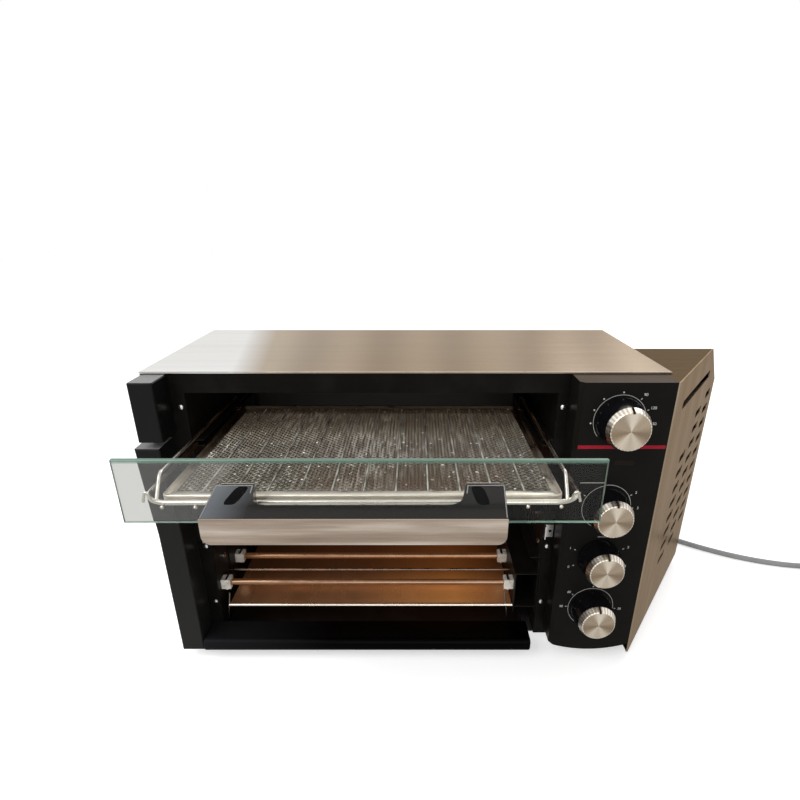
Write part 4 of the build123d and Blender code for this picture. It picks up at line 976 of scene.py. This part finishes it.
def rack_rivets():
    """Small bright rivets on the cavity's side walls, where the side racks are fixed."""
    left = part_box("cavity_left_wall")[1].x
    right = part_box("cavity_right_wall")[0].x
    bm = bmesh.new()
    for wall, way in ((left, 1), (right, -1)):
        for y, z in ((16.0, 117.0), (28.0, 92.0), (38.0, 140.0), (20.0, 186.0)):
            centre = Vector((wall + way * 1.0 * MM, FRAME_FACE + y * MM, z * MM))
            lathe(bm, centre, Vector((way, 0, 0)), ((-0.8, 3.0), (0.4, 3.0), (1.1, 2.1), (1.3, 0.8)), 16)
    piece("rack_rivets", bm, "housing", "bright_fastener")


def cord_points():
    """The lead's route in metres: chosen points, then the put-away coil worked out turn by turn."""
    route = [
        (292, 214, 40), (322, 214, 40), (346, 216, 22), (374, 221, 3.6), (404, 218, 3.6),
        (435, 192, 3.6), (474, 167, 3.6), (512, 151, 3.6), (549, 142.5, 3.6),
    ]
    radius, step, layer, half_turns, per_half = 42.5, 3.8, 7.6, 7, 7
    x, y, z, side = 584.0, *route[-1][1:], 1
    swing = math.pi / per_half
    for half_turn in range(half_turns):
        climbing = half_turn == half_turns // 2
        centre = y - side * radius
        for index in range(per_half):
            angle = (index + 0.5) * swing
            reach = side * radius / math.cos(swing / 2)
            rise = layer * (index + 0.5) / per_half if climbing else 0.0
            route.append((x + reach * math.sin(angle), centre + reach * math.cos(angle), z + rise))
        y = centre - side * radius
        z += layer if climbing else 0.0
        side = -side
        radius += step if half_turn >= half_turns // 2 else -step
    route.append((568, y, z))
    return [spot(*point) for point in route]


def power_lead():
    """The grey mains lead: one smooth curve from the strain relief to the plug."""
    points = cord_points()
    curve = bpy.data.curves.new("power_lead", "CURVE")
    curve.dimensions = "3D"
    curve.bevel_depth = bpy.context.scene.oven_sizes.cord_diameter / 2
    curve.bevel_resolution = 4
    curve.resolution_u = 6
    curve.use_fill_caps = True
    spline = curve.splines.new("NURBS")
    spline.points.add(len(points) - 1)
    for knot, point in zip(spline.points, points):
        knot.co = (*point, 1.0)
    spline.order_u = 3
    spline.use_endpoint_u = True
    curve.materials.append(finish("cord_rubber"))
    lead = put_in_scene("power_lead", curve)
    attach(lead, "housing")
    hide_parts("power_cord", "power_cord_coil")
    return lead, points[0]


def strain_relief():
    """Ribbed, tapering strain relief where the lead leaves the casing."""
    low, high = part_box("cord_gland")
    start = Vector((low.x, (low.y + high.y) / 2, (low.z + high.z) / 2))
    profile = [
        (0.0, 8.6), (0.4, 9.0), (6.0, 9.0), (6.0, 5.8), (7.0, 5.8), (7.0, 9.0), (10.4, 9.0), (11.0, 8.5), (12.0, 7.0),
    ]
    for step in range(5):
        way = 13.0 + step * 3.8
        radius = 6.6 - 0.45 * step
        profile += [(way, radius), (way + 1.9, radius - 0.1), (way + 2.2, radius - 1.1), (way + 3.4, radius - 1.15)]
    profile.append(((high.x - low.x) / MM, 4.0))
    bm = bmesh.new()
    lathe(bm, start, Vector((1, 0, 0)), profile, 40)
    made = piece("strain_relief", bm, "housing", "cord_rubber")
    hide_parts("cord_gland")
    return made


def plug_grip():
    """Raised grip bars on both broad sides of the plug."""
    low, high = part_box("mains_plug")
    height = (low.z + high.z) / 2
    proud, sunk = 0.35 * MM, 0.45 * MM
    bm = bmesh.new()
    for step in range(5):
        x = low.x + (9 + step * 3.6) * MM
        for y in (low.y - proud, high.y - sunk):
            start = Vector((x, y, height - 5 * MM))
            slab(bm, start, start + Vector((1.6 * MM, proud + sunk, 10 * MM)), 0.3 * MM)
    return piece("plug_grip", bm, "housing", "cord_rubber")


def seen_directly(tree):
    """1 where the camera, metal or glass sees a surface, 0 where it lights something."""
    path = tree.nodes.new("ShaderNodeLightPath")
    seen = path.outputs["Is Camera Ray"]
    for ray in ("Is Glossy Ray", "Is Transmission Ray"):
        either = tree.nodes.new("ShaderNodeMath")
        either.operation = "MAXIMUM"
        tree.links.new(seen, either.inputs[0])
        tree.links.new(path.outputs[ray], either.inputs[1])
        seen = either.outputs["Value"]
    return seen


def stage_sheet(name, corners, material):
    """A flat four-cornered sheet that belongs to the stage."""
    mesh = bpy.data.meshes.new(name)
    mesh.from_pydata(corners, [], [(0, 1, 2, 3)])
    mesh.materials.append(material)
    made = put_in_scene(name, mesh)
    return made


def floor():
    """Large pale floor that keeps the oven's shadow."""
    sizes = bpy.context.scene.oven_stage
    recipe = Recipe("pale_floor", sizes.floor_colour, 0.9, gloss=0.1)
    lighter = tuple(min(1.0, part + 0.01) for part in sizes.floor_colour)
    mirrored = recipe.node("ShaderNodeLightPath").outputs["Is Glossy Ray"]
    pale = recipe.mix(recipe.noise(0.8, 2.0), tuple(sizes.floor_colour), lighter)
    recipe.set("Emission Color", (*WHITE, 1.0))
    recipe.feed("Emission Strength", recipe.maths("MULTIPLY", seen_directly(recipe.tree), sizes.floor_lift))
    material = recipe.done(recipe.mix(mirrored, pale, tuple(sizes.floor_mirrored)))
    half = sizes.floor_size / 2
    stage_sheet("floor", [(-half, -half, 0.0), (half, -half, 0.0), (half, half, 0.0), (-half, half, 0.0)], material)


def reflection_card(name, corners, colour):
    """A coloured card that only shows in reflections, as a wall or table near the oven would."""
    darker = tuple(0.8 * part for part in colour)
    made = stage_sheet(name, corners, two_tone(name, colour, 0.9, (colour, darker), (1.5, 3.0)))
    made.visible_camera = False
    made.visible_diffuse = False
    made.visible_shadow = False
    made.visible_transmission = False


def lamp(name, place, aim, size, power):
    """A soft square lamp that points at a place."""
    data = bpy.data.lights.new(name, "AREA")
    data.shape = "SQUARE"
    data.size = size
    data.energy = power
    made = put_in_scene(name, data)
    made.location = place
    made.rotation_euler = (Vector(aim) - Vector(place)).to_track_quat("-Z", "Y").to_euler()


def world():
    """Even studio light, white where the camera, glass and metal see it."""
    made = bpy.data.worlds.new("studio")
    bpy.context.scene.world = made
    made.use_nodes = True
    nodes, links = made.node_tree.nodes, made.node_tree.links
    background = nodes["Background"]
    background.inputs["Color"].default_value = (*WHITE, 1.0)
    strength = nodes.new("ShaderNodeMapRange")
    strength.inputs["To Min"].default_value = bpy.context.scene.oven_stage.world_strength
    strength.inputs["To Max"].default_value = 1.0
    links.new(seen_directly(made.node_tree), strength.inputs["Value"])
    links.new(strength.outputs["Result"], background.inputs["Strength"])


def camera():
    """The photograph's point of view."""
    stage = bpy.context.scene.oven_stage
    data = bpy.data.cameras.new("camera")
    data.lens = stage.lens
    data.sensor_width = 36.0
    data.shift_x, data.shift_y = stage.shift
    made = put_in_scene("camera", data)
    made.location = stage.camera_place
    made.rotation_euler = (math.pi / 2 - stage.camera_pitch, 0.0, 0.0)
    bpy.context.scene.camera = made


class OvenColours(bpy.types.PropertyGroup):
    # The cover's light and dark colours are painted reflection bands, not the steel's own tone.
    cover_bright_reflection: bpy.props.FloatVectorProperty(
        name="Cover, light side", description="Brushed steel at the left of the casing", subtype="COLOR",
        size=3, min=0.0, max=1.0, default=(0.935, 0.968, 1.0),
    )
    cover_dark_reflection: bpy.props.FloatVectorProperty(
        name="Cover, dark side", description="Brushed steel towards the controls", subtype="COLOR",
        size=3, min=0.0, max=1.0, default=(0.34, 0.265, 0.19),
    )
    cover_edge: bpy.props.FloatVectorProperty(
        name="Cover, glancing", description="Tint of brushed steel seen at a glancing angle", subtype="COLOR",
        size=3, min=0.0, max=1.0, default=(0.80, 0.75, 0.68),
    )
    # Glow also sets the painted glow on the reflector and on the cavity's back.
    glow: bpy.props.FloatProperty(
        name="Glow", description="Strength of the hot rods' glow", min=0.0, max=5.0, default=0.45,
    )


class OvenSizes(bpy.types.PropertyGroup):
    cloth_pitch: bpy.props.FloatProperty(
        name="Cloth pitch", description="Distance between the crisper's wires", unit="LENGTH", default=3.0 * MM,
    )
    cloth_wire: bpy.props.FloatProperty(
        name="Cloth wire", description="Thickness of the crisper's wires", unit="LENGTH", default=0.9 * MM,
    )
    rib_count: bpy.props.IntProperty(
        name="Knob ribs", description="Ribs round each knob's skirt", min=8, max=80, default=36,
    )
    cord_diameter: bpy.props.FloatProperty(
        name="Lead thickness", description="Diameter of the mains lead", unit="LENGTH", default=7.0 * MM,
    )
    cord_length: bpy.props.FloatProperty(
        name="Lead length", description="Length from strain relief to plug", unit="LENGTH", default=1.16,
    )


class OvenStage(bpy.types.PropertyGroup):
    camera_place: bpy.props.FloatVectorProperty(
        name="Camera", description="Where the camera stands", subtype="TRANSLATION", size=3,
        default=(-0.0517, -0.5385, 0.421),
    )
    camera_pitch: bpy.props.FloatProperty(
        name="Pitch", description="How far the camera looks down", unit="ROTATION", default=math.radians(25.3),
    )
    lens: bpy.props.FloatProperty(name="Lens", description="Focal length in millimetres", default=25.92)
    shift: bpy.props.FloatVectorProperty(
        name="Shift", description="Sideways and upward shift of the picture", size=2, default=(-0.02, 0.1125),
    )
    floor_size: bpy.props.FloatProperty(
        name="Floor", description="Side of the square floor", unit="LENGTH", default=12.0,
    )
    floor_colour: bpy.props.FloatVectorProperty(
        name="Floor colour", description="Pale floor", subtype="COLOR", size=3, default=(0.93, 0.93, 0.93),
    )
    floor_mirrored: bpy.props.FloatVectorProperty(
        name="Floor in reflections", description="Colour of the floor in metal and glass", subtype="COLOR", size=3,
        default=(0.22, 0.21, 0.20),
    )
    floor_lift: bpy.props.FloatProperty(
        name="Floor lift", description="White added to the floor where it is seen", min=0.0, max=1.0, default=0.5,
    )
    world_strength: bpy.props.FloatProperty(
        name="Sky", description="Strength of the even light", min=0.0, max=2.0, default=0.55,
    )
    key_power: bpy.props.FloatProperty(
        name="Key lamp", description="Power of the soft main lamp", unit="POWER", default=38.0,
    )


class OVEN_OT_casing(bpy.types.Operator):
    """Add the casing screws and the top cover's folded hem"""

    bl_idname = "oven.casing"
    bl_label = "Casing"

    def execute(self, context):
        casing_screws()
        cover_hem()
        return {"FINISHED"}


class OVEN_OT_finishes(bpy.types.Operator):
    """Give every node of the model its finish"""

    bl_idname = "oven.finishes"
    bl_label = "Finishes"

    def execute(self, context):
        for name, (_, members) in FINISHES.items():
            for node in members:
                paint(node, name)
        return {"FINISHED"}


class OVEN_OT_controls(bpy.types.Operator):
    """Add knob ribs, printed scales and the pilot window"""

    bl_idname = "oven.controls"
    bl_label = "Controls"

    def execute(self, context):
        for dial in DIALS:
            knob_ribs(dial)
        dial_marks()
        pilot_window()
        return {"FINISHED"}


class OVEN_OT_cavity(bpy.types.Operator):
    """Add heater clips, reflector legs and rack rivets"""

    bl_idname = "oven.cavity"
    bl_label = "Cavity"

    def execute(self, context):
        heater_clips()
        rack_rivets()
        return {"FINISHED"}


class OVEN_OT_drawer(bpy.types.Operator):
    """Build the crisper tray's rim, wire cloth, lip and ribs, the rack's beads and the handle's fine pieces"""

    bl_idname = "oven.drawer"
    bl_label = "Drawer"

    def execute(self, context):
        crisper_rim()
        crisper_cloth()
        crisper_lip()
        crisper_ribs()
        rack_beads()
        handle_details()
        handle_washers()
        return {"FINISHED"}


class OVEN_OT_lead(bpy.types.Operator):
    """Lay the mains lead with its strain relief and plug"""

    bl_idname = "oven.lead"
    bl_label = "Mains lead"

    def execute(self, context):
        lead, start = power_lead()
        relief = strain_relief()
        grip = plug_grip()
        return {"FINISHED"}


class OVEN_OT_stage(bpy.types.Operator):
    """Set the floor, soft light and the photograph's camera"""

    bl_idname = "oven.stage"
    bl_label = "Stage"

    def execute(self, context):
        stage = context.scene.oven_stage
        camera()
        floor()
        world()
        lamp("key_lamp", (-1.6, -1.4, 2.2), (0.0, 0.0, 0.15), 1.8, stage.key_power)
        lamp("rim_lamp", (1.2, 1.6, 2.0), (0.1, 0.0, 0.2), 1.4, stage.key_power * 0.4)
        lamp("front_lamp", (0.1, -2.4, 0.8), (-0.05, 0.0, 0.15), 1.2, stage.key_power * 0.25)
        corners = [(0.35, 1.6, 0.0), (2.2, 1.2, 0.0), (2.2, 1.2, 0.6), (0.35, 1.6, 0.6)]
        reflection_card("warm_card", corners, (0.34, 0.24, 0.17))
        return {"FINISHED"}


class OVEN_PT_panel(bpy.types.Panel):
    bl_idname = "OVEN_PT_panel"
    bl_label = "Air fryer oven"
    bl_space_type = "VIEW_3D"
    bl_region_type = "UI"
    bl_category = "Oven"

    def draw(self, context):
        for operator in OPERATORS:
            self.layout.operator(operator.bl_idname)
        for name in GROUPS:
            settings = getattr(context.scene, name)
            for field in settings.__annotations__:
                self.layout.prop(settings, field)


OPERATORS = (
    OVEN_OT_stage,
    OVEN_OT_lead,
    OVEN_OT_finishes,
    OVEN_OT_casing,
    OVEN_OT_controls,
    OVEN_OT_cavity,
    OVEN_OT_drawer,
)
GROUPS = {"oven_colours": OvenColours, "oven_sizes": OvenSizes, "oven_stage": OvenStage}


def register():
    for kind in (*GROUPS.values(), *OPERATORS, OVEN_PT_panel):
        bpy.utils.register_class(kind)
    for name, kind in GROUPS.items():
        setattr(bpy.types.Scene, name, bpy.props.PointerProperty(type=kind))


def unregister():
    for name in GROUPS:
        delattr(bpy.types.Scene, name)
    for kind in (OVEN_PT_panel, *OPERATORS, *GROUPS.values()):
        bpy.utils.unregister_class(kind)


def main():
    register()
    scene = bpy.context.scene
    scene.view_settings.view_transform = "Standard"
    for operator in OPERATORS:
        group, action = operator.bl_idname.split(".")
        getattr(getattr(bpy.ops, group), action)()


if __name__ == "__main__":
    main()
